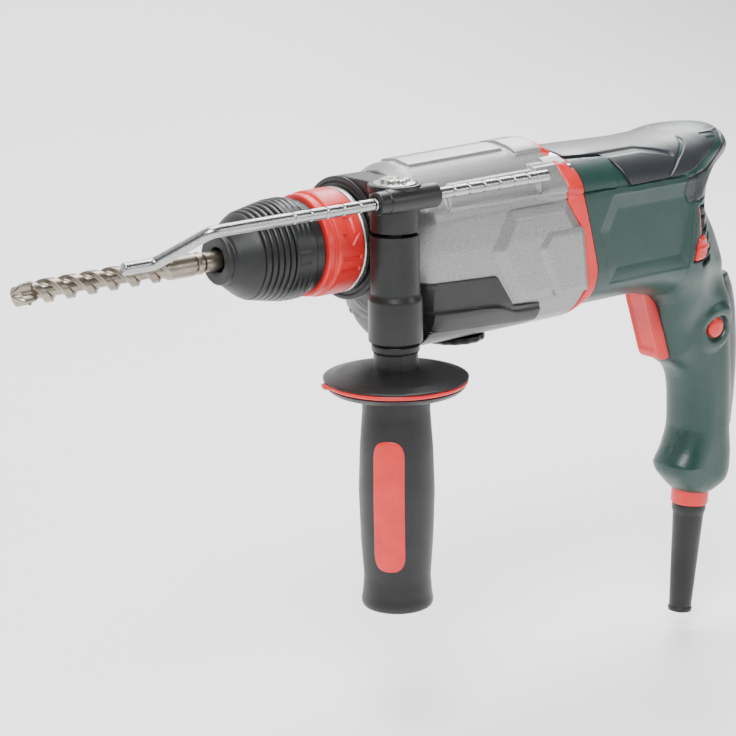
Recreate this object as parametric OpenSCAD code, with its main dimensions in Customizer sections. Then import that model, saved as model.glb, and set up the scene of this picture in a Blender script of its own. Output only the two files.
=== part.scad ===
// Corded rotary hammer with a quick-change chuck, a side handle and a depth stop.
// The drill axis runs along X, the tool bit points to -X, the grip hangs to -Z.
// The origin is the palm point: on the drill axis, at the back of the rear handle.

/* [Overall] */
// Length from the chuck nose to the palm point
nose_to_palm = 335; // [310:1:400]
// Width of the gearbox and the motor housing
body_w = 76; // [68:1:92]
// Height of the gearbox housing
gearbox_h = 99; // [92:1:120]
// Height of the motor housing
motor_h = 88; // [82:1:106]
// Wall of the plastic housings
wall = 3; // [2.4:0.1:4]
// Width of the pistol grip
grip_w = 37; // [30:1:46]
// Height of the pistol grip below the drill axis
grip_drop = 190; // [165:1:230]

/* [Tool bit] */
// How far the bit stands out of the chuck
bit_reach = 116.6; // [100:0.1:140]
// Diameter of the bit's cutting head
bit_head_d = 13; // [11.4:0.1:16]
// Diameter of the fluted stem
bit_stem_d = 11.6; // [10.4:0.1:13]
// Diameter of the slotted shank
shank_d = 10; // [9:0.1:12]
// How deep the shank sits behind the nose
shank_depth = 60; // [56:0.5:61]

/* [Chuck] */
// Diameter of the nose face
nose_d = 26; // [23:0.5:32]
// Diameter of the locking sleeve
sleeve_d = 51; // [48:0.5:62]
// Length of the rubber dust cap
cap_len = 15.4; // [13:0.2:18.5]
// Length of the locking sleeve
sleeve_len = 22; // [19:0.5:23]
// Stroke of the locking sleeve
sleeve_stroke = 5.5; // [4:0.1:6.6]
// Diameter of the quick-release ring
ring_d = 54; // [52:0.5:65]
// Length of the quick-release ring
ring_len = 21.5; // [18:0.5:21.8]
// Diameter of the two locking balls
ball_d = 6.6; // [5.6:0.1:7]

/* [Hammer drive] */
// Outer diameter of the hammer tube
tube_d = 30; // [25:0.5:36]
// Bore of the hammer tube
tube_bore = 22; // [18.5:0.5:24]
// Teeth of the spindle gear
spindle_teeth = 32; // [30:1:34]
// Teeth of the countershaft's front pinion
counter_teeth = 16; // [14:1:18]
// Gear module of the spindle pair
gear_m = 1.25; // [1.1:0.05:1.4]
// Teeth of the motor pinion
pinion_teeth = 10; // [9:1:11]
// Teeth of the countershaft's rear gear
drive_teeth = 40; // [36:1:42]
// Gear module of the motor pair
drive_m = 0.64; // [0.56:0.02:0.68]
// Largest tilt of the wobble finger
wobble_tilt = 10; // [6:1:11]

/* [Motor] */
// Diameter of the armature core
armature_d = 40; // [34:1:46]
// Length of the armature core
armature_len = 40; // [32:1:43]
// Diameter of the stator
stator_d = 62; // [54:1:66]
// Diameter of the commutator
commutator_d = 22; // [18:1:24]

/* [Side handle] */
// Diameter of the collar that the clamp band grips
collar_d = 50; // [46:0.5:55]
// Diameter of the clamp column
column_d = 25; // [22:0.5:29]
// Length of the rubber grip
side_grip_len = 114; // [95:1:135]
// Largest diameter of the rubber grip
side_grip_d = 39; // [34:0.5:46]
// Diameter of the guard disc
disc_d = 74.4; // [64:0.2:88]
// Diameter of the clamp bolt
bolt_d = 8; // [7:0.5:9]

/* [Depth stop] */
// Diameter of the depth stop rod
rod_d = 6; // [5:0.1:7]
// Straight length of the rod behind its bend
rod_len = 212; // [180:1:250]
// How far the rod's nose is set towards the bit, sideways
rod_offset_y = 22.5; // [18:0.5:26]
// How far the rod's nose is set down
rod_offset_z = 16.3; // [12:0.1:18]

/* [Controls] */
// Stroke of the trigger
trigger_stroke = 7; // [5:0.1:7.6]
// Width of the trigger
trigger_w = 18; // [15:0.5:22]
// Diameter of the lock-on button
button_d = 12.5; // [10.5:0.1:15]
// Diameter of the mode knob
knob_d = 36; // [30:0.5:43]
// Angle that the direction slider turns through
slider_turn = 26; // [20:1:27]

/* [Cable exit] */
// Bore for the cable, through the gland and the sleeve
cable_bore = 8.2; // [7:0.1:9]
// Length of the bend-protection sleeve
bend_len = 66; // [55:1:80]
// Largest diameter of the bend-protection sleeve
bend_d = 20; // [17:0.5:24]

/* [Clearances] */
// Radial gap of a running shaft
run_gap = 0.05; // [0.02:0.01:0.08]
// Gap between moving covers
free_gap = 0.3; // [0.25:0.05:0.5]

/* [Hidden] */
$fn = 48;
eps = 0.01;

// Stations along the drill axis, counted back from the nose datum
cap_front = -1.4;
cap_rear = cap_front + cap_len;
sleeve_rear = cap_rear + sleeve_len;
collar_front = sleeve_rear + sleeve_stroke + 0.5;
sleeve_flange = 9;
chuck_rear = 49;
ring_front = chuck_rear + 0.5;
ring_rear = ring_front + ring_len;
metal_ring_rear = 75;
clamp_front = 76;
clamp_rear = 96;
gearbox_front = 98;
gearbox_rear = 198;
motor_front = 211;
motor_rear = 291;
clamp_x = 81.4;

// Radii and heights that several pieces share
tool_tube_r = shank_d / 2 + 5;
guide_r = tool_tube_r + 4;
spigot_r = tube_d / 2 + 5;
bearing_r = tube_d / 2 + 6;
collar_r = collar_d / 2;
body_mid_z = -13;
gearbox_mid_z = -12.3;
gearbox_top = gearbox_mid_z + gearbox_h / 2;
gearbox_bottom = gearbox_mid_z - gearbox_h / 2;
motor_bottom = body_mid_z - motor_h / 2;
half_w = body_w / 2;

// Gear centres
counter_drop = gear_m * (spindle_teeth + counter_teeth) / 2;
motor_rise = drive_m * (pinion_teeth + drive_teeth) / 2;
counter_z = -counter_drop;
motor_z = counter_z + motor_rise;

// Side handle column, beside the collar
column_r = column_d / 2;
column_y = -(collar_r + column_r + 0.1);
column_top = 32.6;
slit_z = 8.5;
slit_h = 2;
step_z = -23;
jaw_bottom = -47.7;
neck_bottom = -61.5;
disc_top = neck_bottom;
disc_h = 4.6;
pad_h = 2.4;
lower_disc_h = 5;
grip_top = disc_top - disc_h - pad_h - lower_disc_h;
grip_bottom = grip_top - side_grip_len;
rod_y = column_y - 8.9;
rod_z = 26.3;
rod_bend_x = -36;
rod_r = rod_d / 2;
boss_r = rod_r + 3.2;
inlay_turn = -52;

// Rear handle
button_x = 333;
button_z = -85.5;
gland_x = 335;
gland_tilt = 5;

// Locking balls, which run in the slots of the shank
ball_x = 30;
ball_at_r = ball_d;
bit_play = 10;
slot_play = 0.2;

// Sections of the gearbox and the motor housing, and of the spaces inside them
body_r = 22;
roof_slope = 3.5;
cavity_step = 8;
gearbox_section = round_box(body_w, gearbox_h, body_r, gearbox_mid_z);
gearbox_cavity = round_box(body_w - 2 * wall, gearbox_h - 2 * (wall + roof_slope),
    body_r - wall, gearbox_mid_z);
gearbox_cavity_front = round_box(body_w - 2 * cavity_step, gearbox_h - 2 * cavity_step - 2,
    body_r - cavity_step, gearbox_mid_z);
motor_section = round_box(body_w, motor_h, body_r, body_mid_z);
motor_cavity = round_box(body_w - 2 * wall, motor_h - 2 * wall, body_r - wall, body_mid_z);
reach_z = 90;

// Where the gearbox ends and where the intermediate ring ends, seen from the side
gearbox_edge = [[gearbox_rear, reach_z], [gearbox_rear, 8.4], [gearbox_rear + 10.4, -8.2],
    [gearbox_rear + 17, -40], [gearbox_rear + 15, -reach_z]];
ring_edge = [[motor_front, reach_z], [motor_front - 0.5, 9.6], [motor_front + 10, -30],
    [motor_front + 10, -reach_z]];

// Mode knob under the gearbox
knob_x = 151;
knob_h = 2.8;
pointer_h = 1.4;
knob_shaft_r = 5;

// Hammer tube, anvil, striker and piston
bore_r = tube_bore / 2;
anvil_r = shank_d / 2 + 1.9;
anvil_front = shank_depth + 0.6;
tube_front = 72;
tube_rear = 150;
anvil_head_front = tube_front + 8;
anvil_head_rear = tube_front + 18;
striker_front = anvil_head_rear + 10;
striker_rear = striker_front + 18;
piston_front = striker_rear + 12;
piston_rear = piston_front + 28;
wobble_x = 165;
wobble_w = 4;
wobble_ring_r = 14;
finger_r = 3;
yoke_h = 6;

// Gear train: plates of the bracket and places of the gears
plate_t = 6;
plate_x = [111, 140, 176];
counter_r = 6;
counter_seat_r = 11;
counter_rear = 192;
bracket_low = gearbox_bottom + 9.6;
bracket_floor = bracket_low + 4;
spindle_gear_x = 120;
spindle_gear_w = 10;
drive_gear_x = 184;
drive_gear_w = 7;

// Motor
motor_shaft_r = 4;
motor_seat_r = 11;
rear_seat_r = 8;
flange_front = 193;
flange_rear = 206;
flange_screws = [for (y = [-1, 1], z = [-1, 1]) [y * (half_w - 11), gearbox_mid_z + z * (gearbox_h / 2 - 15)]];
core_front = 214;
brush_x = 264;
brush_ring_r = 28;

// Direction slider: its two edges as angles about the motor axis
slider_low = 214;
slider_high = 200;
slider_front = motor_rear + 7;
slider_rear = motor_rear + 15;

// Switch inside the grip
lock_stroke = 3;
lock_pin_r = 2.8;
switch_gap = 4.6;

// Trigger: side outline, the stem behind it and the opening that it moves in
trigger_outline = [[284, -59], [287, -66], [292, -80], [296, -92], [298.5, -100], [301, -102.6],
    [308.5, -101], [305, -90], [301, -78], [298, -67], [297, -59]];
trigger_rear = 308.5;
trigger_low = -102.6;
stem_rear = 311.5;

// Side outlines of the rear handle and of the space inside it
handle_top = body_mid_z + motor_h / 2 + 2.2;
handle_low = -grip_drop;
upper_outline = [[motor_rear, motor_bottom], [motor_rear, handle_top - 2.2], [315, handle_top],
    [330, handle_top], [340, handle_top - 2.8], [345, 23], [346, 16.6], [342.5, 7.3], [330, -6.9],
    [330, -16], [340, -30.5], [346, -46], [349.5, motor_bottom]];
upper_space = [[motor_rear - 1, motor_bottom + wall], [motor_rear - 1, handle_top - wall - 2.2],
    [326, handle_top - wall - 2.2], [337, 16], [337, 9], [325, -5], [325, -18], [335, -44],
    [337, motor_bottom + wall]];
grip_outline = [[288, motor_bottom + eps], [294, -67], [303, -99], [305, -105.5], [314, -109], [320, -117],
    [322, -130], [322, -150], [311.5, -168], [315.5, handle_low + 8], [324, handle_low + 2.5],
    [336, handle_low - 0.8], [350, handle_low - 0.6], [356, handle_low + 4], [359.5, -168], [358, -152.5],
    [357.5, -108], [349.5, motor_bottom + eps]];
grip_space = [[300, motor_bottom + 6], [309, -98], [318, -104], [327.5, -117], [329, -130], [329, -151],
    [319.5, -165], [322, handle_low + 14], [344, handle_low + 10], [349, handle_low + 15],
    [349.5, -152], [349, -108], [341, motor_bottom + 6]];
screw_boss_r = 5;
handle_screw_at = [[346, -66], [343, -140], [332, -170]];

// Cable gland
gland_r = 12;

module placed() {
    translate([-nose_to_palm, 0, 0]) children();
}

// ---- Shared shapes ----

module x_turned(profile) {
    // profile holds [x, r] points of a closed outline, turned about the X axis
    rotate([0, 90, 0])
        rotate_extrude()
            polygon([for (p = profile) [p[1], p[0]]]);
}

module x_rod(x0, x1, r) {
    translate([x0, 0, 0])
        rotate([0, 90, 0])
            cylinder(h = x1 - x0, r = r);
}

module x_tube(x0, x1, r_out, r_in) {
    difference() {
        x_rod(x0, x1, r_out);
        x_rod(x0 - 1, x1 + 1, r_in);
    }
}

module z_rod(z0, z1, r) {
    translate([0, 0, z0])
        cylinder(h = z1 - z0, r = r);
}

module y_rod(y0, y1, r) {
    translate([0, y1, 0])
        rotate([90, 0, 0])
            cylinder(h = y1 - y0, r = r);
}

module side_slab(points, y0, y1) {
    // an outline in X and Z, from y0 to y1
    translate([0, y1, 0])
        rotate([90, 0, 0])
            linear_extrude(height = y1 - y0)
                polygon(points);
}

module x_bar(x0, x1, section) {
    // an outline in Y and Z, from x0 to x1
    translate([x0, 0, 0])
        rotate([90, 0, 90])
            linear_extrude(height = x1 - x0)
                polygon(section);
}

module box_between(low, high) {
    translate(low)
        cube(high - low);
}

function round_box(w, h, r, cy = 0, steps = 5) = [
    for (k = [0:3], i = [0:steps])
        let (a = 90 * k + 90 * i / steps, sx = (k == 0 || k == 3) ? 1 : -1, sy = k < 2 ? 1 : -1)
            [sx * (w / 2 - r) + r * cos(a), cy + sy * (h / 2 - r) + r * sin(a)]
];

// Involute spur gear outline, thinned by a little backlash
function involute(base, a) =
    let (arc = a * PI / 180)
    [base * (cos(a) + arc * sin(a)), base * (sin(a) - arc * cos(a))];
function roll_angle(base, r) = 180 / PI * sqrt(max(0, (r / base) * (r / base) - 1));
function turned(p, a) = [p[0] * cos(a) - p[1] * sin(a), p[0] * sin(a) + p[1] * cos(a)];
function gear_outline(teeth, m, thin, steps = 5) =
    let (
        pitch = teeth * m / 2,
        base = pitch * cos(20),
        tip = pitch + 0.8 * m,
        root = pitch - 1.1 * m,
        low = max(base, root),
        roll_pitch = roll_angle(base, pitch),
        pitch_pt = involute(base, roll_pitch),
        half = 90 / teeth + atan2(pitch_pt[1], pitch_pt[0]) - thin / pitch * 180 / PI,
        roll_low = roll_angle(base, low),
        roll_tip = roll_angle(base, tip),
        flank = [for (i = [0:steps]) involute(base, roll_low + (roll_tip - roll_low) * i / steps)]
    )
    [for (t = [0:teeth - 1])
        let (at = 360 * t / teeth)
            each concat(
                [turned([root, 0], at - half)],
                [for (p = flank) turned(p, at - half)],
                [for (i = [steps:-1:0]) turned([flank[i][0], -flank[i][1]], at + half)],
                [turned([root, 0], at + half)]
            )
    ];

module x_gear(x0, x1, teeth, m, thin, phase = 0) {
    translate([x0, 0, 0])
        rotate([90, 0, 90])
            linear_extrude(height = x1 - x0)
                rotate(phase)
                    polygon(gear_outline(teeth, m, thin));
}

// Helical spring along X, from its mean radius, wire, length and number of turns
module x_coil(x0, len, r, wire_r, turns) {
    sides = 6;
    rings = turns * 16;
    points = [
        for (i = [0:rings], s = [0:sides - 1])
            let (a = 360 * turns * i / rings, b = 360 * s / sides, q = r + wire_r * cos(b))
                [x0 + len * i / rings + wire_r * sin(b), q * cos(a), q * sin(a)]
    ];
    walls = [
        for (i = [0:rings - 1], s = [0:sides - 1])
            let (n = (s + 1) % sides)
                each [
                    [i * sides + s, (i + 1) * sides + s, (i + 1) * sides + n],
                    [i * sides + s, (i + 1) * sides + n, i * sides + n]
                ]
    ];
    front = [[for (s = [0:sides - 1]) s]];
    back = [[for (s = [sides - 1:-1:0]) rings * sides + s]];
    polyhedron(points, concat(walls, front, back));
}

// ---- Tool bit and chuck ----

module drill_bit() {
    stem_end = -14;
    head_len = 11;
    head_x = -bit_reach + 5;
    slot_floor = ball_d / 2 - 0.1;
    color("silver") placed()
        difference() {
            x_turned([[-bit_reach, 0], [head_x, bit_head_d / 2], [head_x + head_len, bit_head_d / 2],
                [head_x + head_len + 2, bit_stem_d / 2], [stem_end, bit_stem_d / 2],
                [stem_end + 1, shank_d / 2], [shank_depth - 1, shank_d / 2],
                [shank_depth, shank_d / 2 - 1], [shank_depth, 0]]);
            for (side = [-1, 1])
                box_between([ball_x - ball_d / 2 - slot_play, -ball_d / 2, side > 0 ? slot_floor : -shank_d],
                    [ball_x + ball_d / 2 + bit_play + slot_play, ball_d / 2,
                        side > 0 ? shank_d : -slot_floor]);
        }
}

module dust_cap() {
    nose_r = nose_d / 2;
    big_r = sleeve_d / 2 - 3.5;
    color("#1b1c1e") placed()
        x_turned([[cap_front, shank_d / 2 + 0.7], [cap_front, nose_r], [cap_front + 2, nose_r + 2.6],
            [cap_front + 5, nose_r + 4.2], [cap_front + 8.2, big_r - 2], [cap_front + 11, big_r - 1.4],
            [cap_rear - free_gap, big_r], [cap_rear - free_gap, tool_tube_r], [cap_front + 7.4, tool_tube_r],
            [cap_front + 7.4, shank_d / 2 + 0.7]]);
}

module locking_sleeve() {
    r = sleeve_d / 2;
    guide = guide_r + free_gap;
    pocket_r = guide_r + 6;
    color("#1b1c1e") placed()
        x_turned([[cap_rear, guide], [cap_rear, r - 3], [cap_rear + 4, r - 2], [cap_rear + 5, r - 3.2],
            [cap_rear + 7, r - 2.4], [cap_rear + 12, r - 0.4], [cap_rear + 13, r - 1.8],
            [cap_rear + 15, r - 1.2],
            [sleeve_rear - 2, r], [sleeve_rear, r], [sleeve_rear, pocket_r],
            [cap_rear + sleeve_flange, pocket_r], [cap_rear + sleeve_flange, guide]]);
}

module chuck_body() {
    r = sleeve_d / 2;
    color("#222326") placed()
        x_turned([[cap_rear, tool_tube_r], [cap_rear, guide_r], [collar_front, guide_r], [collar_front, r],
            [chuck_rear - 1, r], [chuck_rear, r - 1], [chuck_rear, tool_tube_r]]);
}

module locking_balls() {
    color("lightgray") placed()
        for (side = [-1, 1])
            translate([ball_x, 0, side * ball_at_r])
                sphere(d = ball_d, $fn = 32);
}

module chuck_spring() {
    // drawn as the pulled sleeve presses it, so that the sleeve keeps clear of it
    wire_r = 0.7;
    seat = wire_r + 0.1;
    x0 = cap_rear + sleeve_flange + sleeve_stroke + seat;
    color("gray") placed()
        x_coil(x0, collar_front - seat - x0, guide_r + 3.4, wire_r, 4);
}

module quick_release_ring() {
    r = ring_d / 2;
    color("#e0383c") placed()
        x_turned([[ring_front, spigot_r + free_gap], [ring_front, r - 1.6], [ring_front + 1.5, r - 0.6],
            [ring_front + 4.5, r - 0.6], [ring_front + 6, r - 1.4], [ring_front + 9, r - 1],
            [ring_rear - 3, r], [ring_rear, r], [ring_rear, spigot_r + free_gap]]);
}

module retaining_ring() {
    color("gainsboro") placed()
        x_tube(ring_rear + free_gap, metal_ring_rear, ring_d / 2, spigot_r);
}

module nose_collar() {
    inside = tube_d / 2 + 1;
    color("#1d1e20") placed()
        x_turned([[ring_front + 1, inside], [ring_front + 1, spigot_r], [metal_ring_rear, spigot_r],
            [metal_ring_rear, collar_r], [gearbox_front + 12, collar_r], [gearbox_front + 12, bearing_r],
            [metal_ring_rear + 3, bearing_r], [metal_ring_rear + 3, inside]]);
}

// ---- Side handle ----

module column_bore() {
    translate([clamp_x, column_y, 0])
        z_rod(jaw_bottom - 1, column_top + 1, bolt_d / 2 + 0.3);
}

module collar_hole() {
    x_rod(clamp_front - 20, clamp_rear + 20, collar_r + free_gap);
}

module ring_hole() {
    // keeps the jaws clear of the release ring and the metal ring
    x_rod(ring_front - 10, metal_ring_rear + 0.5, ring_d / 2 + 2);
}

module rod_hole() {
    translate([0, rod_y, rod_z])
        x_rod(clamp_front - 40, clamp_rear + 40, rod_r + run_gap);
}

module handle_upper_jaw() {
    band_r = collar_r + 6.4;
    color("#202124") placed()
        difference() {
            union() {
                intersection() {
                    x_rod(clamp_front, clamp_rear, band_r);
                    box_between([clamp_front, -band_r, slit_z + slit_h / 2],
                        [clamp_rear, band_r + 1, band_r + 1]);
                }
                translate([clamp_x, column_y, 0])
                    z_rod(slit_z + slit_h / 2, column_top, column_r);
                box_between([clamp_front, column_y, 24], [clamp_rear, 0, column_top - 2]);
                translate([0, rod_y, rod_z])
                    x_rod(clamp_x - 19, clamp_x + 19, boss_r);
            }
            collar_hole();
            column_bore();
            rod_hole();
            ring_hole();
        }
}

module handle_lower_jaw() {
    band_r = collar_r + 6.4;
    color("#202124") placed()
        difference() {
            union() {
                intersection() {
                    x_rod(clamp_front, clamp_rear, band_r);
                    box_between([clamp_front, -band_r, -band_r - 1],
                        [clamp_rear, band_r + 1, slit_z - slit_h / 2]);
                }
                translate([clamp_x, column_y, 0])
                    z_rod(step_z, slit_z - slit_h / 2, column_r);
                translate([clamp_x, column_y, 0])
                    z_rod(jaw_bottom, step_z, column_r + 1.3);
                side_slab([[clamp_front, -40], [clamp_rear, -40], [clamp_rear, -22], [clamp_front, -22]],
                    column_y, -14);
            }
            collar_hole();
            column_bore();
            ring_hole();
        }
}

module clamp_bolt() {
    head_r = 8;
    color("dimgray") placed()
        translate([clamp_x, column_y, 0]) {
            z_rod(grip_top - 28, column_top, bolt_d / 2);
            z_rod(column_top, column_top + 2, column_r - 0.6);
            difference() {
                z_rod(column_top + 2, column_top + 5, head_r);
                for (k = [0:5])
                    rotate(60 * k)
                        translate([head_r + 0.8, 0, 0])
                            z_rod(column_top + 1.9, column_top + 6, 2.2);
            }
        }
}

module handle_neck() {
    flat = column_r - 2.2;
    color("#1b1c1e") placed()
        translate([clamp_x, column_y, 0])
            difference() {
                union() {
                    z_rod(neck_bottom + 10, jaw_bottom - free_gap, column_r);
                    z_rod(neck_bottom, neck_bottom + 11, column_r - 1);
                }
                z_rod(neck_bottom - 1, jaw_bottom + 1, bolt_d / 2);
                for (side = [-1, 1])
                    translate([-20, side > 0 ? flat : -flat - 10, neck_bottom - 1])
                        cube([40, 10, 7]);
            }
}

module guard_disc() {
    r = disc_d / 2;
    top = disc_top;
    color("#1b1c1e") placed()
        translate([clamp_x, column_y, 0])
            rotate_extrude()
                polygon([[bolt_d / 2, top], [column_r, top], [r - 5, top - 2.2], [r, top - 4],
                    [r, top - disc_h], [r - 4, top - disc_h], [r - 4, top - disc_h - pad_h],
                    [r - 1, top - disc_h - pad_h], [r - 3, grip_top], [bolt_d / 2, grip_top]]);
}

module damping_ring() {
    r = disc_d / 2;
    color("#e0383c") placed()
        translate([clamp_x, column_y, 0])
            difference() {
                union() {
                    z_rod(disc_top - disc_h - pad_h, disc_top - disc_h, r - 0.6);
                    rotate(160)
                        box_between([r - 3, -2.5, disc_top - disc_h - pad_h],
                            [r + 2.4, 2.5, disc_top - disc_h]);
                }
                z_rod(disc_top - disc_h - pad_h - 1, disc_top, r - 4);
            }
}

module grip_core() {
    color("#2a2b2d") placed()
        translate([clamp_x, column_y, 0])
            difference() {
                z_rod(grip_bottom + 6, grip_top, side_grip_d / 2 - 8);
                z_rod(grip_top - 28, grip_top + 1, bolt_d / 2);
            }
}

module grip_sleeve() {
    r = side_grip_d / 2;
    core = r - 8;
    len = side_grip_len;
    color("#1a1b1d") placed()
        translate([clamp_x, column_y, 0])
            difference() {
                rotate_extrude()
                    polygon([[core, grip_top], [r - 1.5, grip_top], [r - 2.5, grip_top - 8],
                        [r - 0.8, grip_top - len * 0.25], [r, grip_top - len * 0.45],
                        [r - 1.2, grip_top - len * 0.7], [r - 3, grip_top - len * 0.85],
                        [r - 1.4, grip_bottom + 5], [r - 1, grip_bottom + 2], [r - 2, grip_bottom],
                        [0, grip_bottom], [0, grip_bottom + 6], [core, grip_bottom + 6]]);
                inlay_block();
            }
}

module inlay_block() {
    r = side_grip_d / 2;
    rotate(inlay_turn - 90)
        translate([r - 3.4, 0, grip_top - side_grip_len * 0.48])
            rotate([0, 90, 0])
                linear_extrude(height = 3.9)
                    polygon(round_box(side_grip_len * 0.66, 17, 5));
}

module grip_inlay() {
    color("#e2484b") placed()
        translate([clamp_x, column_y, 0])
            inlay_block();
}

module depth_stop_rod() {
    bend = [rod_bend_x, rod_y, rod_z];
    step = [rod_bend_x - 17, rod_y + rod_offset_y, rod_z - rod_offset_z];
    color("lightsteelblue") placed()
        union() {
            translate([0, rod_y, rod_z])
                difference() {
                    x_rod(rod_bend_x, rod_bend_x + rod_len, rod_r);
                    for (k = [0:15])
                        translate([11 + 10 * k, 0, 0])
                            box_between([-0.5, -rod_r - 1, rod_r - 0.5], [0.5, rod_r + 1, rod_r + 1]);
                }
            hull() {
                translate(bend)
                    sphere(r = rod_r, $fn = 24);
                translate(step)
                    sphere(r = rod_r, $fn = 24);
            }
            hull() {
                translate(step)
                    sphere(r = rod_r, $fn = 24);
                translate(step - [18, 0, 0])
                    sphere(r = rod_r, $fn = 24);
            }
        }
}

// ---- Gearbox housing and what is screwed to it ----

function reversed(list) = [for (i = [len(list) - 1:-1:0]) list[i]];

module skin_patch(points, side, section, grow) {
    y0 = side > 0 ? 0 : -reach_z;
    intersection() {
        side_slab(points, y0, y0 + reach_z);
        difference() {
            x_bar(80, 380, grow);
            x_bar(70, 390, section);
        }
    }
}

module plan_cut(front_w, full_at) {
    // narrows the front of the housing towards the collar, seen from above
    translate([0, 0, -reach_z])
        linear_extrude(height = 2 * reach_z)
            polygon([[gearbox_front, -front_w], [full_at, -half_w - 1], [motor_rear, -half_w - 1],
                [motor_rear, half_w + 1], [full_at, half_w + 1], [gearbox_front, front_w]]);
}

module gearbox_housing() {
    front_top = 28;
    front_low = -48;
    color("#a9abac") placed()
        difference() {
            intersection() {
                x_bar(gearbox_front, motor_front + 20, gearbox_section);
                side_slab(concat([[gearbox_front, front_low], [gearbox_front, front_top],
                    [gearbox_front + 8, front_top + 5], [gearbox_front + 66, gearbox_top - 1.2],
                    [gearbox_front + 88, gearbox_top + 1]], gearbox_edge,
                    [[gearbox_front + 60, gearbox_bottom - 1], [gearbox_front + 14, gearbox_bottom + 3]]),
                    -reach_z, reach_z);
                plan_cut(29, gearbox_front + 16);
            }
            x_bar(gearbox_front + 12, motor_front + 40, gearbox_cavity_front);
            x_bar(gearbox_front + 26, motor_front + 40, gearbox_cavity);
            x_rod(gearbox_front - 1, gearbox_front + 13, collar_r);
            translate([knob_x, 0, 0])
                z_rod(gearbox_bottom - 1, gearbox_bottom + wall + 1, knob_shaft_r + run_gap);
        }
}

module side_plate(side) {
    skin_patch([[157.5, 8.5], [gearbox_rear - 0.5, 8.5], [gearbox_rear + 9.8, -8.2], [gearbox_rear + 16, -40],
        [180.8, -41.5], [163.2, -40.5], [144, -11.3]], side, gearbox_section,
        round_box(body_w + 4, gearbox_h + 4, body_r + 2, gearbox_mid_z));
}

module side_plate_left() {
    color("#b4b6b7") placed() side_plate(-1);
}

module side_plate_right() {
    color("#b4b6b7") placed() side_plate(1);
}

module lower_cover(side) {
    skin_patch([[gearbox_front + 17, -22], [149, -24.4], [162.6, -41.8], [182, -43], [183, -55],
        [gearbox_front + 17, -48]], side, gearbox_section,
        round_box(body_w + 2.4, gearbox_h + 2.4, body_r + 1.2, gearbox_mid_z));
}

module lower_cover_left() {
    color("#202124") placed() lower_cover(-1);
}

module lower_cover_right() {
    color("#202124") placed() lower_cover(1);
}

module gear_bracket() {
    plate_w = 26;
    seat_w = 15;
    top = tube_d / 2 + 6;
    rear_bore = 13;
    color("silver") placed()
        difference() {
            union() {
                box_between([plate_x[0], -seat_w, bracket_low],
                    [plate_x[0] + plate_t, seat_w, counter_z + counter_seat_r + 2]);
                for (x = [plate_x[1], plate_x[2]])
                    box_between([x, -plate_w, bracket_low], [x + plate_t, plate_w, top]);
                box_between([plate_x[0], -seat_w, bracket_low], [plate_x[2] + plate_t, seat_w, bracket_floor]);
            }
            x_rod(plate_x[1] - 1, plate_x[1] + plate_t + 1, tube_d / 2 + run_gap);
            x_rod(plate_x[2] - 1, plate_x[2] + plate_t + 1, rear_bore);
            translate([0, 0, counter_z]) {
                x_rod(plate_x[0] - 1, plate_x[0] + plate_t + 1, counter_seat_r);
                x_rod(plate_x[1] - 1, plate_x[1] + plate_t + 1, counter_r + 2);
                x_rod(plate_x[2] - 1, plate_x[2] + plate_t + 1, counter_seat_r);
            }
        }
}

module motor_flange() {
    color("gray") placed()
        difference() {
            x_bar(flange_front, flange_rear, gearbox_cavity);
            translate([0, 0, motor_z]) {
                x_rod(flange_front - 1, flange_rear + 1, motor_shaft_r + 2);
                x_rod(flange_front + 3, flange_rear + 1, motor_seat_r);
            }
            for (p = flange_screws)
                translate([0, p[0], p[1]])
                    x_rod(flange_front - 1, flange_rear + 1, 2);
        }
}

module housing_screws() {
    color("darkgray") placed()
        for (p = flange_screws)
            translate([0, p[0], p[1]]) {
                x_rod(flange_front, flange_rear + eps, 2);
                x_rod(flange_rear, flange_rear + 3, 3.6);
            }
}

module mode_knob() {
    r = knob_d / 2;
    z0 = gearbox_bottom - free_gap;
    color("#1c1d1f") placed()
        translate([knob_x, 0, 0]) {
            z_rod(z0 - knob_h, z0, r);
            z_rod(z0 - eps, gearbox_bottom + wall, knob_shaft_r);
        }
}

module knob_pointer() {
    z0 = gearbox_bottom - free_gap - knob_h;
    color("#e0383c") placed()
        box_between([knob_x - 4, -3, z0 - pointer_h], [knob_x + knob_d / 2 + 2, 3, z0]);
}

// ---- Hammer drive ----

module spindle() {
    r = tube_d / 2;
    front = cap_front + 7.4;
    shank_r = shank_d / 2 + run_gap;
    nose_r = anvil_r + run_gap;
    color("silver") placed()
        difference() {
            x_turned([[front, shank_r], [front, tool_tube_r], [tube_front, tool_tube_r], [tube_front, r],
                [tube_rear, r], [tube_rear, bore_r], [tube_front + 5, bore_r], [tube_front + 5, nose_r],
                [anvil_front - 0.3, nose_r], [anvil_front - 0.3, shank_r]]);
            translate([ball_x, 0, 0])
                z_rod(-tool_tube_r - 1, tool_tube_r + 1, ball_d / 2);
        }
}

module spindle_gear() {
    color("dimgray") placed()
        difference() {
            x_gear(spindle_gear_x, spindle_gear_x + spindle_gear_w, spindle_teeth, gear_m, 0.1, -90);
            x_rod(spindle_gear_x - 1, spindle_gear_x + spindle_gear_w + 1, tube_d / 2);
        }
}

module spindle_bearing() {
    color("lightgray") placed()
        x_tube(metal_ring_rear + 3, metal_ring_rear + 15, bearing_r, tube_d / 2 + run_gap);
}

module anvil() {
    r = bore_r - run_gap;
    color("slategray") placed()
        x_turned([[anvil_front, 0], [anvil_front, anvil_r], [anvil_head_front - 0.5, anvil_r],
            [anvil_head_front, r], [anvil_head_rear, r], [anvil_head_rear, 0]]);
}

module striker() {
    color("slategray") placed()
        x_rod(striker_front, striker_rear, bore_r - run_gap);
}

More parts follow.
